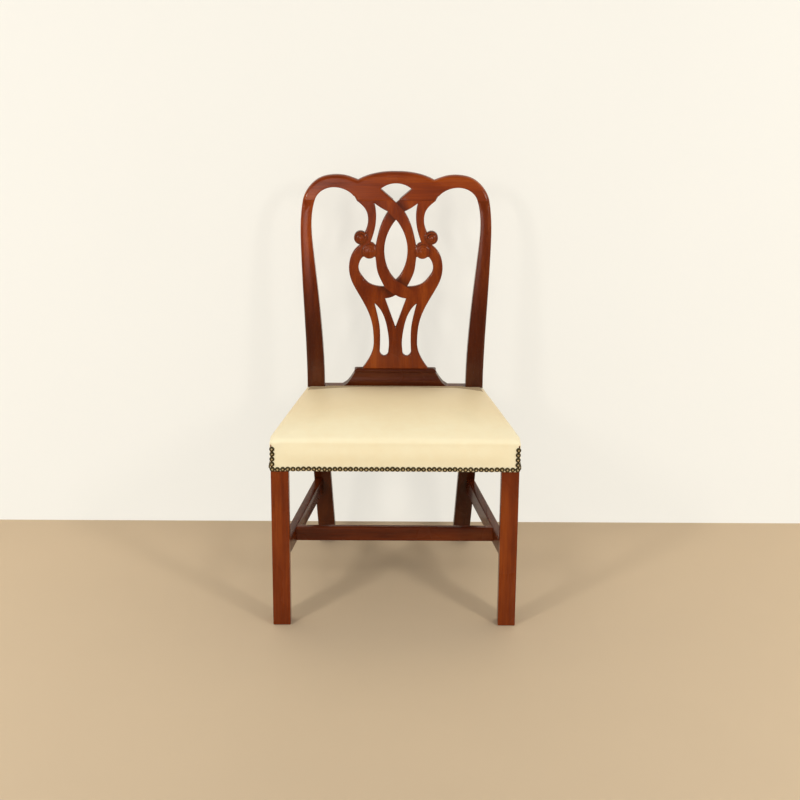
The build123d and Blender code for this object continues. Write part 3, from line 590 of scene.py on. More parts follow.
# %% Ease every joined piece
outer_round = 0.0068
for side in ("left", "right"):
    eased("front_leg_" + side, leg_wood, 0.0016, along(2), sole)
    eased("rear_post_" + side, lit_and_shaded_post_woods[side], outer_round, back_edges, at_crest_joint)
    eased("side_stretcher_" + side, shaded_front_to_back_wood, 0.0026, along(1))
eased("cross_stretcher", shaded_level_wood, 0.0022, along(0), shoulders)
eased("rear_seat_rail", shaded_level_wood, 0.0012, along(0))

# %% [markdown]
# ## Two carved boards: the splat and the crest rail
#
# The splat and the crest rail are sawn from boards and then carved: bands cross over and
# under each other, four scrolls end in round eyes, and the crest rail's outer edge is rounded
# over. The carver works from the face. So each board here is a height field: a fine grid over
# the outline, with its edges rounded by their distance to the sawn edge. The outlines
# themselves are cut from the frame's own solids.


# %% The outline: where a board is cut by a sheet behind its face
def section(node, sheet):
    """Segments (n, 2, 2) in X and Z where a node's mesh crosses the surface y = sheet(z)."""
    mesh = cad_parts[node].data
    mesh.calc_loop_triangles()
    co = points_of(mesh)
    tri = np.empty(len(mesh.loop_triangles) * 3, np.int32)
    mesh.loop_triangles.foreach_get("vertices", tri)
    tri = tri.reshape(-1, 3)
    away = (co[:, 1] - sheet(co[:, 2]) + 1e-9)[tri]
    after = np.roll(away, -1, axis=1)
    crosses = away * after < 0
    share = np.where(crosses, away / np.where(away == after, 1, away - after), 0)[..., None]
    points = co[tri] + share * (co[np.roll(tri, -1, axis=1)] - co[tri])
    whole = crosses.sum(axis=1) == 2
    return points[whole][crosses[whole]].reshape(-1, 2, 3)[:, :, [0, 2]]


# %% Distance to an outline, and which points are inside it
def nearest_on(segments, points):
    """The nearest point on any segment: distance and place for each point. It works through
    the points in blocks, because every point is set against every segment."""
    a, run = segments[:, 0], segments[:, 1] - segments[:, 0]
    long2 = (run**2).sum(1) + 1e-18
    away, place = np.empty(len(points)), np.empty((len(points), 2))
    block = 4000
    for start in range(0, len(points), block):
        p = points[start : start + block]
        t = np.clip(((p[:, None] - a) * run).sum(2) / long2, 0, 1)
        q = a + t[..., None] * run
        d2 = ((p[:, None] - q) ** 2).sum(2)
        best = d2.argmin(1)
        row = np.arange(len(p))
        away[start : start + block] = np.sqrt(d2[row, best])
        place[start : start + block] = q[row, best]
    return away, place


def inside(segments, xs, zs):
    """Even-odd test on a grid: a point is inside if an odd number of crossings lie left."""
    low, high = segments[:, :, 1].min(1), segments[:, :, 1].max(1)
    found = np.zeros((len(zs), len(xs)), bool)
    for row, z in enumerate(zs):
        (x0, z0), (x1, z1) = segments[(low <= z) & (high > z)].transpose(1, 2, 0)
        at = np.sort(x0 + (z - z0) / (z1 - z0) * (x1 - x0))
        found[row] = np.searchsorted(at, xs) % 2 == 1
    return found


# %% A grid over a board
pitch = 1.1 * mm


class Board:
    """A grid over a sawn outline between two heights. x and z are its points, with those
    next to the sawn edge moved onto it; cells are the squares kept; depth_in is each point's
    distance from the sawn edge, and outward the direction to it."""

    def __init__(self, outline, low, high, half, joints):
        columns = np.arange(-half - 3 * pitch, half + 3 * pitch, pitch)
        rows = np.linspace(low, high, round((high - low) / pitch) + 1)
        self.shape = len(rows), len(columns)
        grid_x, grid_z = np.meshgrid(columns, rows)
        is_in = inside(outline, columns, np.clip(rows, low + 0.00002, high - 0.00002))
        sawn = ~((outline[:, :, 1] < low).all(1) | (outline[:, :, 1] > high).all(1))
        for joint in joints:
            sawn &= ~(np.abs(outline[:, :, 1] - joint) < 0.0004).all(1)
        points = np.column_stack([grid_x.ravel(), grid_z.ravel()])
        close, nearest = nearest_on(outline[sawn], points)
        close, nearest = close.reshape(self.shape), nearest.reshape(*self.shape, 2)
        signed = np.where(is_in, -close, close)
        ok = signed < 0.45 * pitch
        self.cells = ok[:-1, :-1] & ok[1:, :-1] & ok[:-1, 1:] & ok[1:, 1:]
        kept = np.pad(self.cells, 1).astype(int)
        tall, wide = self.shape
        around = sum(kept[i : i + tall, j : j + wide] for i in (0, 1) for j in (0, 1))
        rim = (around > 0) & (around < 4) & (close < pitch * 1.1)
        self.x = np.where(rim, nearest[..., 0], grid_x)
        self.z = np.clip(np.where(rim, nearest[..., 1], grid_z), low, high)
        self.depth_in = np.where(rim, 0, np.maximum(-signed, 0))
        way = np.where(is_in, 1, -1)[..., None]
        self.outward = (nearest - np.dstack([grid_x, grid_z])) * way

    def form(self, name, front, back, recess_shade):
        """Faces over the front and the back, and the sawn wall between them."""
        number = np.arange(self.x.size).reshape(self.shape)
        a, b = number[:-1, :-1], number[:-1, 1:]
        c, d = number[1:, 1:], number[1:, :-1]
        ahead = np.stack([a, b, c, d], -1)[self.cells]
        behind = ahead[:, ::-1] + self.x.size
        kept = np.pad(self.cells, 1)
        tall, wide = self.cells.shape
        walls = []
        beside = ((a, b, 0, 1), (b, c, 1, 2), (c, d, 2, 1), (d, a, 1, 0))
        for u, v, i, j in beside:
            open_side = self.cells & ~kept[i : i + tall, j : j + wide]
            u, v = u[open_side], v[open_side]
            walls.append(np.stack([v, u, u + self.x.size, v + self.x.size], -1))
        faces = np.concatenate([ahead, behind, *walls])
        two_sides = [np.dstack([self.x, y, self.z]).reshape(-1, 3) for y in (front, back)]
        points = np.concatenate(two_sides)
        used, faces = np.unique(faces, return_inverse=True)
        made = mesh_object(name, points[used], faces.reshape(-1, 4))
        # The front's points carry the painted shade of the cut places; the back's carry none.
        cut = np.concatenate([recess_shade.ravel(), np.zeros(recess_shade.size)])[used].astype(np.float32)
        made.data.attributes.new("recess_shade", "FLOAT", "POINT").data.foreach_set("value", cut)
        return made


# %% [markdown]
# At a crossing the upper band keeps its height, and the lower one dips under it from both
# sides. The two edges that show are straight lines between corners of the openings, so a
# step along a line, which fades away from it, is all the carving needs.


# %% The carver's cuts, as a height over the board's face
def step_down(x, z, start, end, side, deep, reach):
    """A step along a line: deep just beyond it on one side, fading over reach."""
    soft = 0.0009
    start, end = np.array(start), np.array(end)
    run = end - start
    long = math.hypot(*run)
    t = np.clip(((x - start[0]) * run[0] + (z - start[1]) * run[1]) / long**2, 0, 1)
    away = np.hypot(x - start[0] - t * run[0], z - start[1] - t * run[1])
    beyond_line = ((x - start[0]) * run[1] - (z - start[1]) * run[0]) / long * side
    return -deep * np.clip(beyond_line / soft, 0, 1) * np.exp(-((away / reach) ** 2))


def scroll(x, z, centre, radius, raised, eye, turns):
    """A scroll's round end: a raised disc, domed, with a groove that winds in to its eye.
    The eye sits a little towards the middle of the chair."""
    soft, domed, groove_deep, button_high = 0.0014, 0.0014, 0.0017, 0.0026
    rho = np.hypot(x - centre[0], z - centre[1])
    turn = np.arctan2(z - centre[1], (x - centre[0]) * np.sign(centre[0]))
    rim = np.clip((radius - rho) / soft, 0, 1)
    dome = raised + domed * (1 - (rho / radius) ** 2)
    winding = radius * (0.90 - 0.30 * ((turn / math.tau + 0.5) % 1.0))
    groove = np.exp(-(((rho - winding) / soft) ** 2)) * turns
    shift = 0.16 * radius * np.sign(centre[0])
    eye_rho = np.hypot(x - centre[0] + shift, z - centre[1])
    button = np.clip(1 - (eye_rho / (radius * eye)) ** 2, 0, 1) ** 0.5 * button_high * turns
    return rim * (dome - groove_deep * groove + button)


def at(across, up):
    """A place on the splat, from shares of its half width and of its height."""
    return across * splat_half, splat_foot + up * (crest_joint - splat_foot)


band_step = 0.0034
crossing_corners = [  # top, right, foot and left, and how far the dip reaches
    ((0.0, 0.893), at(0.172, 0.936), at(0, 0.889), at(-0.172, 0.936), 0.013),
    (at(0, 0.535), at(0.239, 0.494), at(0, 0.446), at(-0.239, 0.494), 0.015),
]


def crossings(x, z):
    """The two places where the bands cross: under the fan, and under the long oval."""
    cut = np.zeros_like(x)
    for top, right, foot, left, reach in crossing_corners:
        cut += step_down(x, z, top, right, -1, band_step, reach)
        cut += step_down(x, z, left, foot, 1, band_step, reach)
    return cut


def crossing_shade(cut):
    """Painted shade where the lower band dips under the upper one: 0 to 1."""
    return -cut / band_step * 0.75


def next_to(grid):
    """The mean of the four neighbours of each place in a grid."""
    return sum(np.roll(grid, step, axis) for axis in (0, 1) for step in (-1, 1)) / 4


def hollow_shade(height, deep):
    """0 to 1: how far each point lies below the mean of its neighbours. It is a painted shade,
    which darkens the wood in the low places of the carving."""
    mean = height
    for _ in range(6):
        mean = next_to(mean)
    return np.clip((mean - height) / deep, 0, 1)


# %% The splat
outline = section("back_splat", lambda z: splat_front(np.clip(z, 0.46, 0.93)) + splat_thickness / 2)
board = Board(outline, splat_foot, crest_joint, splat_half, (splat_foot, crest_joint))
cut = crossings(board.x, board.z)
carving = cut.copy()
scrolls = [  # place, radius, how far it stands out, share of the eye, depth of the groove
    ((0.754, 0.783), 0.0158, 0.0018, 0.50, 1.0),
    ((0.567, 0.703), 0.0172, 0.0010, 0.30, 0.25),
]
for sign in (-1, 1):
    for (across, up), *form in scrolls:
        disc = scroll(board.x, board.z, at(sign * across, up), *form)
        carving = np.maximum(carving, disc)
# Painted shade: where the lower band dips at each crossing, and in the low places of the carving.
recess_shade = np.clip(crossing_shade(cut) + hollow_shade(carving, 0.0005) * 0.8, 0, 1)
face, edge = splat_front(board.z), rounded(board.depth_in, 0.0019)
back = face + splat_thickness - edge
splat = board.form("carved_splat", face - carving + edge, back, recess_shade)
dress(splat, splat_wood, "back_splat")
print("carving from", round(carving.min() * 1000, 2), "to", round(carving.max() * 1000, 2), "mm")

# %% [markdown]
# The crest rail has two kinds of edge. Its top line, which a hand slides over, is rounded far
# over, in front and behind. The fan and the under side are only eased. The nearest sawn edge
# decides: if it lies above the point, or further out, it belongs to the top line.

# %% The crest rail
outline = section("crest_rail", lambda z: post_front(np.clip(z, 0.89, 0.965)) + 0.0015)
crest_half, above = 0.2246, 2 * pitch
board = Board(outline, crest_joint, overall_height + above, crest_half, (crest_joint,))
fan_half, fan_top = 0.045, 0.941
in_fan = (np.abs(board.x) < fan_half) & (board.z < fan_top)
rises = board.outward[..., 1] + 0.9 * board.outward[..., 0] * np.sign(board.x) > -1e-7
top_line = rises & ~in_fan
cut = crossings(board.x, board.z)
front_edge, back_edge = (
    rounded(board.depth_in, np.where(top_line, radius, 0.0016)) for radius in (outer_round, 0.0050)
)
face, back = post_front(board.z) - cut + front_edge, post_back(board.z) - back_edge
# The crest's cut places carry a painted shade where the lower band dips.
crest = board.form("carved_crest_rail", face, back, np.clip(crossing_shade(cut), 0, 1))
dress(crest, crest_wood, "crest_rail")

# %% [markdown]
# ## The shoe
#
# The shoe is run with moulding planes: a bead along its top, a hollow below, a small fillet
# and a flat foot. At the ends the hollow spreads much further, down to a thin toe. So each
# height has one rectangle in plan, and the shape is a function of the height and of the way
# round that rectangle. Behind, the top is rounded over.


# %% One moulding, four sides
def moulded_shoe():
    """Each row of the table is a height share, and how far the moulding stands out at the
    ends and at the front. At each height that gives the rectangle's half width and front."""
    moulding = np.array([
        [0.00, 1.00, 1.00], [0.03, 0.955, 1.00], [0.07, 0.875, 1.00], [0.15, 0.745, 1.00],
        [0.22, 0.665, 1.00], [0.30, 0.590, 1.00], [0.345, 0.550, 0.96], [0.365, 0.532, 0.86],
        [0.372, 0.526, 0.72], [0.45, 0.465, 0.52], [0.545, 0.395, 0.38], [0.66, 0.310, 0.27],
        [0.75, 0.250, 0.21], [0.785, 0.205, 0.20], [0.80, 0.205, 0.34], [0.83, 0.232, 0.46],
        [0.87, 0.246, 0.52], [0.91, 0.240, 0.48], [0.95, 0.200, 0.36], [0.98, 0.130, 0.18],
        [1.00, 0.03, -0.05],
    ])  # fmt: skip
    end_reach, front_reach, rear_round = 0.0375, 0.0055, 0.009
    height = rail_top + shoe_height * moulding[:, 0]
    half = shoe_half - end_reach * (1 - moulding[:, 1])
    back_line = front_face + seat_depth + 0.038
    rear = back_line - rounded(height[-1] - height, rear_round)
    front = back_line - shoe_depth + front_reach * (1 - moulding[:, 2])
    ways = 24
    sweep = np.linspace(-1, 1, ways)
    x = np.concatenate([-np.ones(2), sweep, np.ones(2)])
    at_rear = np.concatenate([[1, 0.5], np.zeros(ways), [0.5, 1]])
    points = np.empty((len(height), len(x), 3))
    points[..., 0] = half[:, None] * x
    points[..., 1] = front[:, None] + (rear - front)[:, None] * at_rear
    points[..., 2] = height[:, None]
    return points


shoe = ringed("moulded_shoe", moulded_shoe())
close_up(shoe.data)
shoe.data.set_sharp_from_angle(angle=math.radians(35))
dress(shoe, shaded_shoe_wood, "splat_shoe")

# %% [markdown]
# ## The seat
#
# The seat is stuffed over the rails. Leather is pulled down over a crowned pad, folded at
# the two front corners, and nailed along the bottom of the rails. Seen from above it is a
# cushion: full in the middle, soft over its front edge, and drawn in towards the nails. Two
# functions draw it: the line round the seat, and the height over any place in that line.


# %% The line round the seat
def way_along(line):
    """How far along a line each of its corners is."""
    return np.concatenate([[0], np.cumsum(np.linalg.norm(np.diff(line, axis=0), axis=1))])


def evenly_round(ring, count):
    """Points at even steps along a line that is given by its corners."""
    way = way_along(ring)
    even = np.linspace(0, way[-1], count, endpoint=False)
    return np.column_stack([np.interp(even, way, ring[:, i]) for i in (0, 1)])


def seat_line(count, out):
    """Points round the seat, evenly spaced, out metres outside the frame, from the middle of
    the back by the right side to the front and round again. Its front corners are round."""
    post_gap, notch_gap, between_posts, corner = 0.0018, 0.0033, 0.1705, 0.0065
    rear_x = seat_half - side_slope * (seat_depth - post_gap - leg_size) + out
    post_x = between_posts - (out - leather_out)
    radius = corner + out
    turn = np.linspace(0, math.pi / 2, 9)
    corner_x = seat_half + out - radius + radius * np.cos(turn)
    corner_y = -out + radius - radius * np.sin(turn)
    back_y, notch_y = seat_back + out, seat_depth - notch_gap + out
    right = np.column_stack([
        np.concatenate([[0, post_x, post_x, rear_x, seat_half + out], corner_x, [0]]),
        np.concatenate([[back_y, back_y, notch_y, notch_y, leg_size], corner_y, [-out]]),
    ])
    return evenly_round(np.concatenate([right[:-1], right[::-1] * [-1, 1]]), count)


# %% The height over any place in it
def seat_height(x, depth, out):
    """The seat's edge, plus a rise that turns over a tight and a wide quarter round at the
    front and sinks to the back, plus a crown. The crown is fullest at 52 % of the depth and
    falls off as the square of the way across. The last 20 mm at each side turn down."""
    share = np.clip(depth / seat_back, 0, 1)
    half = seat_half - side_slope * np.maximum(depth - leg_size, 0) + out
    tight, wide = (quarter_round((depth + out) / reach) for reach in (0.013, 0.050))
    rise = (0.72 * tight + 0.28 * wide) * (1.05 - 1.05 * share**3)
    shoulder = seat_edge - 0.0022 * share**2 + 0.010 * rise + out
    fullest, crown_rise, side_round = 0.52, 0.0125, 0.020
    before = 1 - np.clip(1 - share / fullest, 0, 1) ** 3.2
    after = 1 - np.clip((share - fullest) / (1 - fullest), 0, 1) ** 2
    crown = crown_rise * np.where(share < fullest, before, after)
    across = np.clip(np.abs(x) / (half - side_round), 0, 1)
    top = shoulder + crown * (1 - across**2)
    return seat_edge + (top - seat_edge) * quarter_round((half - np.abs(x)) / side_round)


# %% Skin of the cushion, from its lower edge up and over
def cushion_skin(count, wall_rows, top_rows, out, low, detail):
    """Rows of rings: up the walls, which swell above the nails except near the front corners,
    and then inwards to the middle, in steps that grow. detail adds the marks of the
    upholsterer's work and the swelling of the cloth."""
    ring = seat_line(count, out)
    x, depth = ring.T
    outward = np.roll(ring, 1, axis=0) - np.roll(ring, -1, axis=0)
    outward = np.column_stack([-outward[:, 1], outward[:, 0]])
    outward /= np.linalg.norm(outward, axis=1)[:, None]
    outward *= np.sign((outward * (ring - seat_middle)).sum(1))[:, None]
    rim = seat_height(x, depth, out)
    z = low + (rim - low) * np.linspace(0, 1, wall_rows)[:, None]
    nailed_to, fullest, corner_x, corner_reach = 0.397, 0.0026, 0.272, 0.03
    above_nails = np.clip((z - nailed_to) / (rim - nailed_to), 0, 1)
    swell = fullest * np.sin(math.pi * above_nails) ** 1.6
    from_corner = np.hypot(depth, np.maximum(corner_x - np.abs(x), 0))
    held = np.exp(-((from_corner / corner_reach) ** 2))
    bulge = swell * (1 - held) + detail * wall_marks(ring, z)
    wall = ring + bulge[..., None] * outward
    inwards = (1 - np.linspace(0, 1, top_rows + 1)[1:] ** 1.55)[:, None, None]
    top = seat_middle + (ring - seat_middle) * inwards
    x, depth = top[..., 0], top[..., 1]
    top_z = seat_height(x, depth, out)
    if detail:
        top_z += top_marks(x, depth) + looked_up(swelling, x, depth)
    points = np.concatenate([np.dstack([wall, z]), np.dstack([top, top_z])])
    points[..., 1] += front_face
    return points


# %% [markdown]
# The upholsterer leaves marks. Each nail pulls the leather down to the rail, so that it puffs
# a little between nails. At each front corner a fold runs down above the nails. On top the
# pad is felt through the leather as very long, very low waves.


# %% Marks of the work
nail_pitch = 0.01175


def wall_marks(ring, z):
    """Puffs between the nails, fading upwards, and a fold at each front corner."""
    way = way_along(ring)
    puff, fold_deep, fold_half = 0.0002, 0.0011, 0.0016
    near = np.exp(-np.clip(z - 0.392, 0, 1) / 0.007)
    puffs = puff * near * np.sin(way / nail_pitch * math.pi) ** 2
    corner = np.abs(ring[:, 0]) - (seat_half - 0.001)
    on_front = ring[:, 1] < 0.006
    fold = np.where(on_front, np.exp(-((corner / fold_half) ** 2)), 0)
    fold = -fold_deep * fold * np.clip((z - 0.44) / -0.02 + 1, 0, 1) * (z > 0.388)
    return puffs + fold


def top_marks(x, depth):
    """Long low waves in the stuffing: two broad ones and a finer one, 0.7 mm at most."""
    slow = np.sin(31 * x + 0.7) * np.sin(27 * depth + 1.9) + 0.6 * np.sin(53 * x - 17 * depth)
    fine = np.sin(88 * x + 2.1) * np.sin(74 * depth - 0.4)
    inside_edge = np.clip((0.26 - np.abs(x)) / 0.06, 0, 1) * np.clip(depth / 0.05, 0, 1)
    return (0.00035 * slow + 0.00012 * fine) * inside_edge


# %% [markdown]
# A formula is too even for stuffing. So a coarse copy of the cushion is blown up as cloth:
# its skin is held round the sides, pressure inside it pushes the top out, and twenty frames
# later the way that each place has risen is kept as a small map. The leather adds that map
# to its formula. The whole rise is scaled down to a few millimetres, because the nails and
# the webbing hold the real one.


# %% Blow up a coarse copy of the cushion
def blown_up(pressure, frames, cap):
    """Places (n, 2) on the cushion's top, and how far each has risen, at most cap."""
    cell, held_below, top_above = 0.0060, 0.447, 0.452
    trial = ringed("cushion_trial", cushion_skin(160, 6, 24, 0.0, 0.415, 0))
    close_up(trial.data)
    remesh = trial.modifiers.new("even cells", "REMESH")
    remesh.mode, remesh.voxel_size = "VOXEL", cell
    trial.data = evaluated_mesh(trial)
    trial.modifiers.clear()
    start = points_of(trial.data)
    held = trial.vertex_groups.new(name="held")
    held.add(np.flatnonzero(start[:, 2] < held_below).tolist(), 1.0, "REPLACE")
    cloth = trial.modifiers.new("cloth", "CLOTH")
    cloth.settings.quality, cloth.settings.mass = 6, 0.3
    cloth.settings.tension_stiffness = cloth.settings.compression_stiffness = 12.0
    cloth.settings.shear_stiffness, cloth.settings.bending_stiffness = 4.0, 1.0
    cloth.settings.use_pressure, cloth.settings.uniform_pressure_force = True, pressure
    cloth.settings.vertex_group_mass = "held"
    cloth.settings.effector_weights.gravity = 0.0
    cloth.point_cache.frame_start, cloth.point_cache.frame_end = 1, frames
    for frame_number in range(1, frames + 1):
        bpy.context.scene.frame_set(frame_number)
    rise = (points_of(evaluated_mesh(trial)) - start)[:, 2]
    bpy.context.scene.frame_set(1)
    bpy.data.objects.remove(trial)
    top = start[:, 2] > top_above
    print("cloth points:", len(start), "largest rise in mm:", round(rise.max() * 1000, 2))
    place = start[top][:, :2] - [0, front_face]
    return place, np.maximum(rise[top], 0) * min(1.0, cap / rise.max())


# %% Keep the rise as a map, and read it anywhere
square = 0.01
map_x, map_depth = np.linspace(-0.3, 0.3, 61), np.linspace(-square, 0.41, 43)


def as_map(place, rise):
    """The mean rise in each 10 mm square, smoothed over its neighbours."""
    cells = tuple(
        np.clip(np.digitize(along_one, edges) - 1, 0, len(edges) - 1)
        for along_one, edges in zip(place.T, (map_x, map_depth))
    )
    total, count = np.zeros((2, len(map_x), len(map_depth)))
    np.add.at(total, cells, rise)
    np.add.at(count, cells, 1)
    rises = total / np.maximum(count, 1)
    for _ in range(2):
        rises = (rises + next_to(rises)) / 2
    return rises


def looked_up(rises, x, depth):
    """Reads the map between its squares, in proportion."""
    i = np.clip((x - map_x[0]) / square, 0, len(map_x) - 1.001)
    j = np.clip((depth - map_depth[0]) / square, 0, len(map_depth) - 1.001)
    a, b = i.astype(int), j.astype(int)
    u, v = i - a, j - b
    near = rises[a, b] * (1 - v) + rises[a, b + 1] * v
    return near * (1 - u) + (rises[a + 1, b] * (1 - v) + rises[a + 1, b + 1] * v) * u


swelling = np.zeros((len(map_x), len(map_depth)))
swelling = as_map(*blown_up(4.0, 20, 0.0028))
middle_rise = looked_up(swelling, *seat_middle[:, None])[0]
print("rise over the middle of the seat:", round(middle_rise * 1000, 2), "mm")

# %% Leather over the pad
cover = ringed("leather_cover", cushion_skin(460, 22, 64, leather_out, rail_bottom, 1.0))
close_up(cover.data, ends=False)
print("leather's faces that look up:", sum(face.normal.z > 0.5 for face in cover.data.polygons))
thickened(cover, 0.0011, -1.0)
dress(cover, cream_leather, "seat_leather")

# %% The pad inside it
pad = ringed("stuffed_pad", cushion_skin(260, 4, 40, 0.0, 0.4495, 0.0))
close_up(pad.data)
dress(pad, wadding, "seat_pad")

# %% [markdown]
# ## The nails
#
# Brass nails run along the lower edge and up each front corner. They are set by hand, so no
# two sit quite alike: each is nudged and tipped a little, from one seeded list of numbers.
# Every head is the same small dome, and all of them are made in one array.


# %% Where the nails go
def nail_rows():
    """Places (n, 3) and outward directions (n, 3) of the nails: front, left and right. A side
    row runs along the leg first, and then slants in with the side rail."""
    radius, start = 0.0055, 0.0128
    end = seat_half + leather_out - radius
    height = rail_bottom + radius
    gaps = round(2 * end / nail_pitch)
    x = np.linspace(-end, end, gaps + 1)
    up = height + nail_pitch * np.arange(1, 5)
    front_x = np.concatenate([x, np.repeat([-end, end], 4)])
    front_z = np.concatenate([np.full(len(x), height), np.tile(up, 2)])
    places = np.column_stack([front_x, np.full(len(front_x), -leather_out), front_z])
    rows = {"front": (places, np.tile([0.0, -1.0, 0.0], (len(front_x), 1)))}
    slant = math.hypot(1, side_slope)
    straight = leg_size - start
    run = straight + (seat_depth - leg_size) * slant - radius - 0.0003
    way = nail_pitch * np.arange(int(run / nail_pitch) + 1)
    bent = np.maximum(way - straight, 0) / slant
    depth = np.where(way <= straight, start + way, leg_size + bent)
    x = seat_half + leather_out - side_slope * np.maximum(depth - leg_size, 0)
    turn = np.where(way <= straight, 0, side_slope) / slant
    for name, sign in (("left", -1), ("right", 1)):
        place = np.column_stack([sign * x, depth, np.full(len(x), height)])
        out = np.column_stack([sign * np.sqrt(1 - turn**2), turn, np.zeros(len(x))])
        rows[name] = place, out
    return rows


# %% Domed heads
def dome_heads(places, outward, seed):
    """One dome for each place: rings of a spherical cap, tipped and nudged a little. Comes
    with the share of each point's way from the rim to the crown."""
    tip, nudge, uneven, radius = 0.05, 0.00028, 0.012, 0.00582
    chance = np.random.default_rng(seed)
    count = len(places)
    outward = outward + chance.normal(0, tip, (count, 3))
    outward /= np.linalg.norm(outward, axis=1)[:, None]
    side = np.cross(outward, [0.0, 0.0, 1.0])
    side /= np.linalg.norm(side, axis=1)[:, None]
    up = np.cross(side, outward)
    places = places + side * chance.normal(0, nudge, count)[:, None]
    places = places + up * chance.normal(0, nudge, count)[:, None]
    ring_share = np.array([0.97, 1.0, 0.96, 0.80, 0.50, 0.0])
    ring_rise = np.array([-0.0006, 0.0007, 0.0015, 0.0025, 0.0032, 0.0035])
    turn = np.linspace(0, math.tau, 14, endpoint=False)
    size = (radius * (1 + chance.normal(0, uneven, count)))[:, None, None]
    places, side, up, outward = (v[:, None, None] for v in (places, side, up, outward))
    across, rise = (size * (ring_share[:, None] * wave(turn)) for wave in (np.cos, np.sin))
    points = places + across[..., None] * side + rise[..., None] * up
    points += ring_rise[:, None, None] * outward
    points[..., 1] += front_face
    faces = grid_faces(len(ring_share), len(turn), closed=True)
    each = points.shape[1] * points.shape[2]
    faces = (faces[None] + each * np.arange(count)[:, None, None]).reshape(-1, 4)
    return points, faces, np.broadcast_to(1 - ring_share[:, None], across.shape)


for seed, (row, (places, outward)) in enumerate(nail_rows().items()):
    if row == "front":
        places[:3, 2] -= np.array([0.0011, 0.0013, 0.0007])  # three that were driven low
    points, faces, crown = dome_heads(places, outward, 11 + seed)
    heads = mesh_object("nail_heads_" + row, points, faces)
    # Each point's share of the way to the crown: the brass is painted bright there, a painted
    # highlight.
    brightened = heads.data.attributes.new("crown", "FLOAT", "POINT")
    brightened.data.foreach_set("value", crown.ravel())
    close_up(heads.data)
    dress(heads, brass, "brass_nails_" + row)

# %% [markdown]
# ## Under the seat
#
# A thin black lining closes the seat from below. It is tacked along the rails, so it hangs a
# few millimetres lower in the middle, with a faint ripple. Above it the webbing and the
# hessian carry the stuffing.


# %% The lining, a sagging sheet
def lining_line(count):
    """The lining's edge: inside the frame's outline, and cut out round the front legs."""
    half = np.array([[0, 0.428], [0.168, 0.428], [0.168, 0.391], [0.2035, 0.391],
                     [0.2705, 0.0405], [0.2395, 0.0405], [0.2395, 0.009], [0, 0.009]])  # fmt: skip
    return evenly_round(np.concatenate([half, half[-2:0:-1] * [-1, 1], half[:1]]), count)


def lining_sheet(count, rows):
    """Rings that shrink to the middle, where the sheet sags by 3.2 mm, with a faint ripple."""
    edge_height, deepest, ripple = 0.3843, 0.0032, 0.0004
    share = (1 - np.linspace(0, 1, rows) ** 1.2)[:, None]
    flat = seat_middle + (lining_line(count) - seat_middle) * share[..., None]
    x, depth = flat[..., 0], flat[..., 1]
    sag = deepest * (1 - share**2) + ripple * np.sin(60 * x) * np.sin(47 * depth) * (1 - share)
    return np.dstack([x, depth + front_face, edge_height - sag])


under = ringed("under_lining", lining_sheet(300, 40))
thickened(under, 0.0005, 0.0)
dress(under, lining, "dust_cover")

# %% Materials for the hidden nodes that stay as they are
kept = {
    "front_seat_rail": rail_timber, "seat_hessian": sacking, "corner_block_screws": screw_steel,
}  # fmt: skip
for way in ("front_to_back", "side_to_side"):
    kept["webbing_" + way] = jute
for cloth in ("webbing", "dust_cover"):
    kept[cloth + "_tacks"] = blued
for side in ("left", "right"):
    kept["side_seat_rail_" + side] = side_timber
    for end in ("front", "rear"):
        kept[f"corner_block_{end}_{side}"] = block_timber
for node, material in kept.items():
    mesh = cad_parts[node].data
    mesh.materials.clear()
    mesh.materials.append(material)
print("nodes kept as they are:", len(kept))

# %% [markdown]
# ## Floor, light and camera
#
# The chair stands on a pale floor in front of a pale wall, lit from both sides by large soft
# lamps, a little higher than the chair, and by an even sky. Polished wood mirrors that sky
# dark, all but one bright pane left of the camera, which gives a soft sheen to the left ear
# of the crest and to the upper part of the post below it. The wall is one-sided: from behind
# it lets the view through, so that the back of the chair can be looked at as well.


# %% Stage
def plain(name, colour, roughness):
    """A dull colour that clouds over by 6 % here and there."""
    paint = Finish(name)
    cloud = paint.noise(paint.place, 2.5, 4.0)
    low = tuple(c * 0.94 for c in colour)
    paint.set(Base_Color=paint.mixed(cloud, low, colour), Roughness=roughness)
    return paint


floor_paint = plain("pale_floor", (0.62, 0.49, 0.335), 0.7)
wall_paint = plain("pale_wall", (0.96, 0.94, 0.88), 0.8)
painted = Pattern(wall_paint, wall_paint.shader.outputs[0])
even = wall_paint.add("Emission", values={0: (0.955, 0.925, 0.835, 1), 1: 1.0})
from_camera = wall_paint.add("LightPath", output="Is Camera Ray")
pale = wall_paint.add("MixShader", values={0: from_camera * 0.7, 1: painted, 2: even})
clear = wall_paint.add("BsdfTransparent")
seen_from_behind = wall_paint.add("NewGeometry", output="Backfacing")
shown = wall_paint.add("MixShader", values={0: seen_from_behind, 1: pale, 2: clear})
wall_paint.tree.links.new(shown.socket, wall_paint.tree.nodes["Material Output"].inputs[0])
wall_y, wide, high = 0.350, 4, 3.0
ground = [(-wide, -wide, 0), (wide, -wide, 0), (wide, wide, 0), (-wide, wide, 0)]
upright = [(x, wall_y, z) for x, z in ((-wide, 0), (wide, 0), (wide, high), (-wide, high))]
for name, corners, paint in (("floor", ground, floor_paint), ("wall", upright, wall_paint)):
    sheet = mesh_object(name, np.array(corners, float), np.array([[0, 1, 2, 3]]))
    sheet.data.materials.append(paint.material)
    sheet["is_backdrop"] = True
print("stage set")


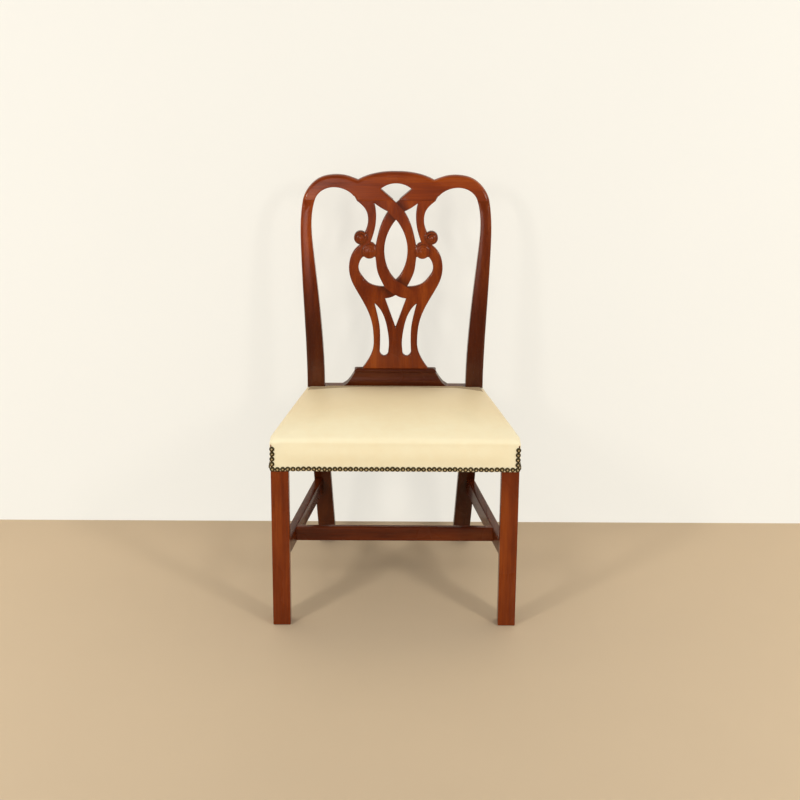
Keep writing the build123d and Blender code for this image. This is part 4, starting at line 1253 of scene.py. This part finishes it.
# %% Lamps and sky
lamp_y, lamp_z, aimed_at = -2.7, 2.15, 0.5
for side, lamp_x in (("left", -2.1), ("right", 2.1)):
    data = bpy.data.lights.new("lamp_" + side, "AREA")
    data.shape, data.size, data.energy, data.color = "DISK", 1.0, 90, (1.0, 0.955, 0.885)
    lamp = in_scene(data.name, data)
    lamp.location = lamp_x, lamp_y, lamp_z
    turn_down = math.atan2(math.hypot(lamp_x, lamp_y), lamp_z - aimed_at)
    lamp.rotation_euler = turn_down, 0.0, math.pi + math.atan2(lamp_x, lamp_y)
world = bpy.data.worlds.new("soft_sky")
bpy.context.scene.world = world
world.use_nodes = True
sky, background = Nodes(world.node_tree), world.node_tree.nodes["Background"]
background.inputs[0].default_value = (1.0, 0.975, 0.93, 1)


def towards(axis, *ends):
    """How far the view's direction has gone along an axis: two places, and the values there."""
    way = sky.add("TexCoord", output="Generated")
    part = sky.add("SeparateXYZ", values={0: way}, output=axis)
    return sky.add("MapRange", values=dict(enumerate((part, *ends))))


mirrored = sky.add("LightPath", output="Is Glossy Ray")
left_and_up = towards(0, -0.020, -0.050, 0.0, 1.0) * towards(2, 0.015, 0.050, 0.0, 1.0)
ahead = towards(1, -0.95, -0.97, 0.0, 1.0)
brighter_up = towards(2, 0.05, 0.21, 1.5, 5.2)
pane = left_and_up * ahead * brighter_up
strength = mirrored * (pane + 0.12) + (1 - mirrored) * 0.66
sky.feed(background.inputs[1], strength)
print("lamps lit")

# %% Camera
camera_data = bpy.data.cameras.new("camera")
camera_data.sensor_width, camera_data.lens = 36.0, 80.3
camera_data.clip_end = 50.0
camera = in_scene("camera", camera_data)
camera.location = (-0.0095, -3.986, 1.8758)
pitch_down, yaw, roll = math.radians(19.5), math.radians(-0.3), math.radians(0.39)
turned = (
    Matrix.Rotation(yaw, 4, "Z")
    @ Matrix.Rotation(math.pi / 2 - pitch_down, 4, "X")
    @ Matrix.Rotation(roll, 4, "Z")
)
camera.rotation_euler = turned.to_euler("XYZ")
bpy.context.scene.camera = camera
bpy.context.scene.view_settings.view_transform = "Standard"
print("camera looks down", round(math.degrees(pitch_down), 1), "degrees")

# %% Measure, and close the lesson
low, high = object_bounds()
print("visual box in mm:", [round((b - a) * 1000, 1) for a, b in zip(low, high)])
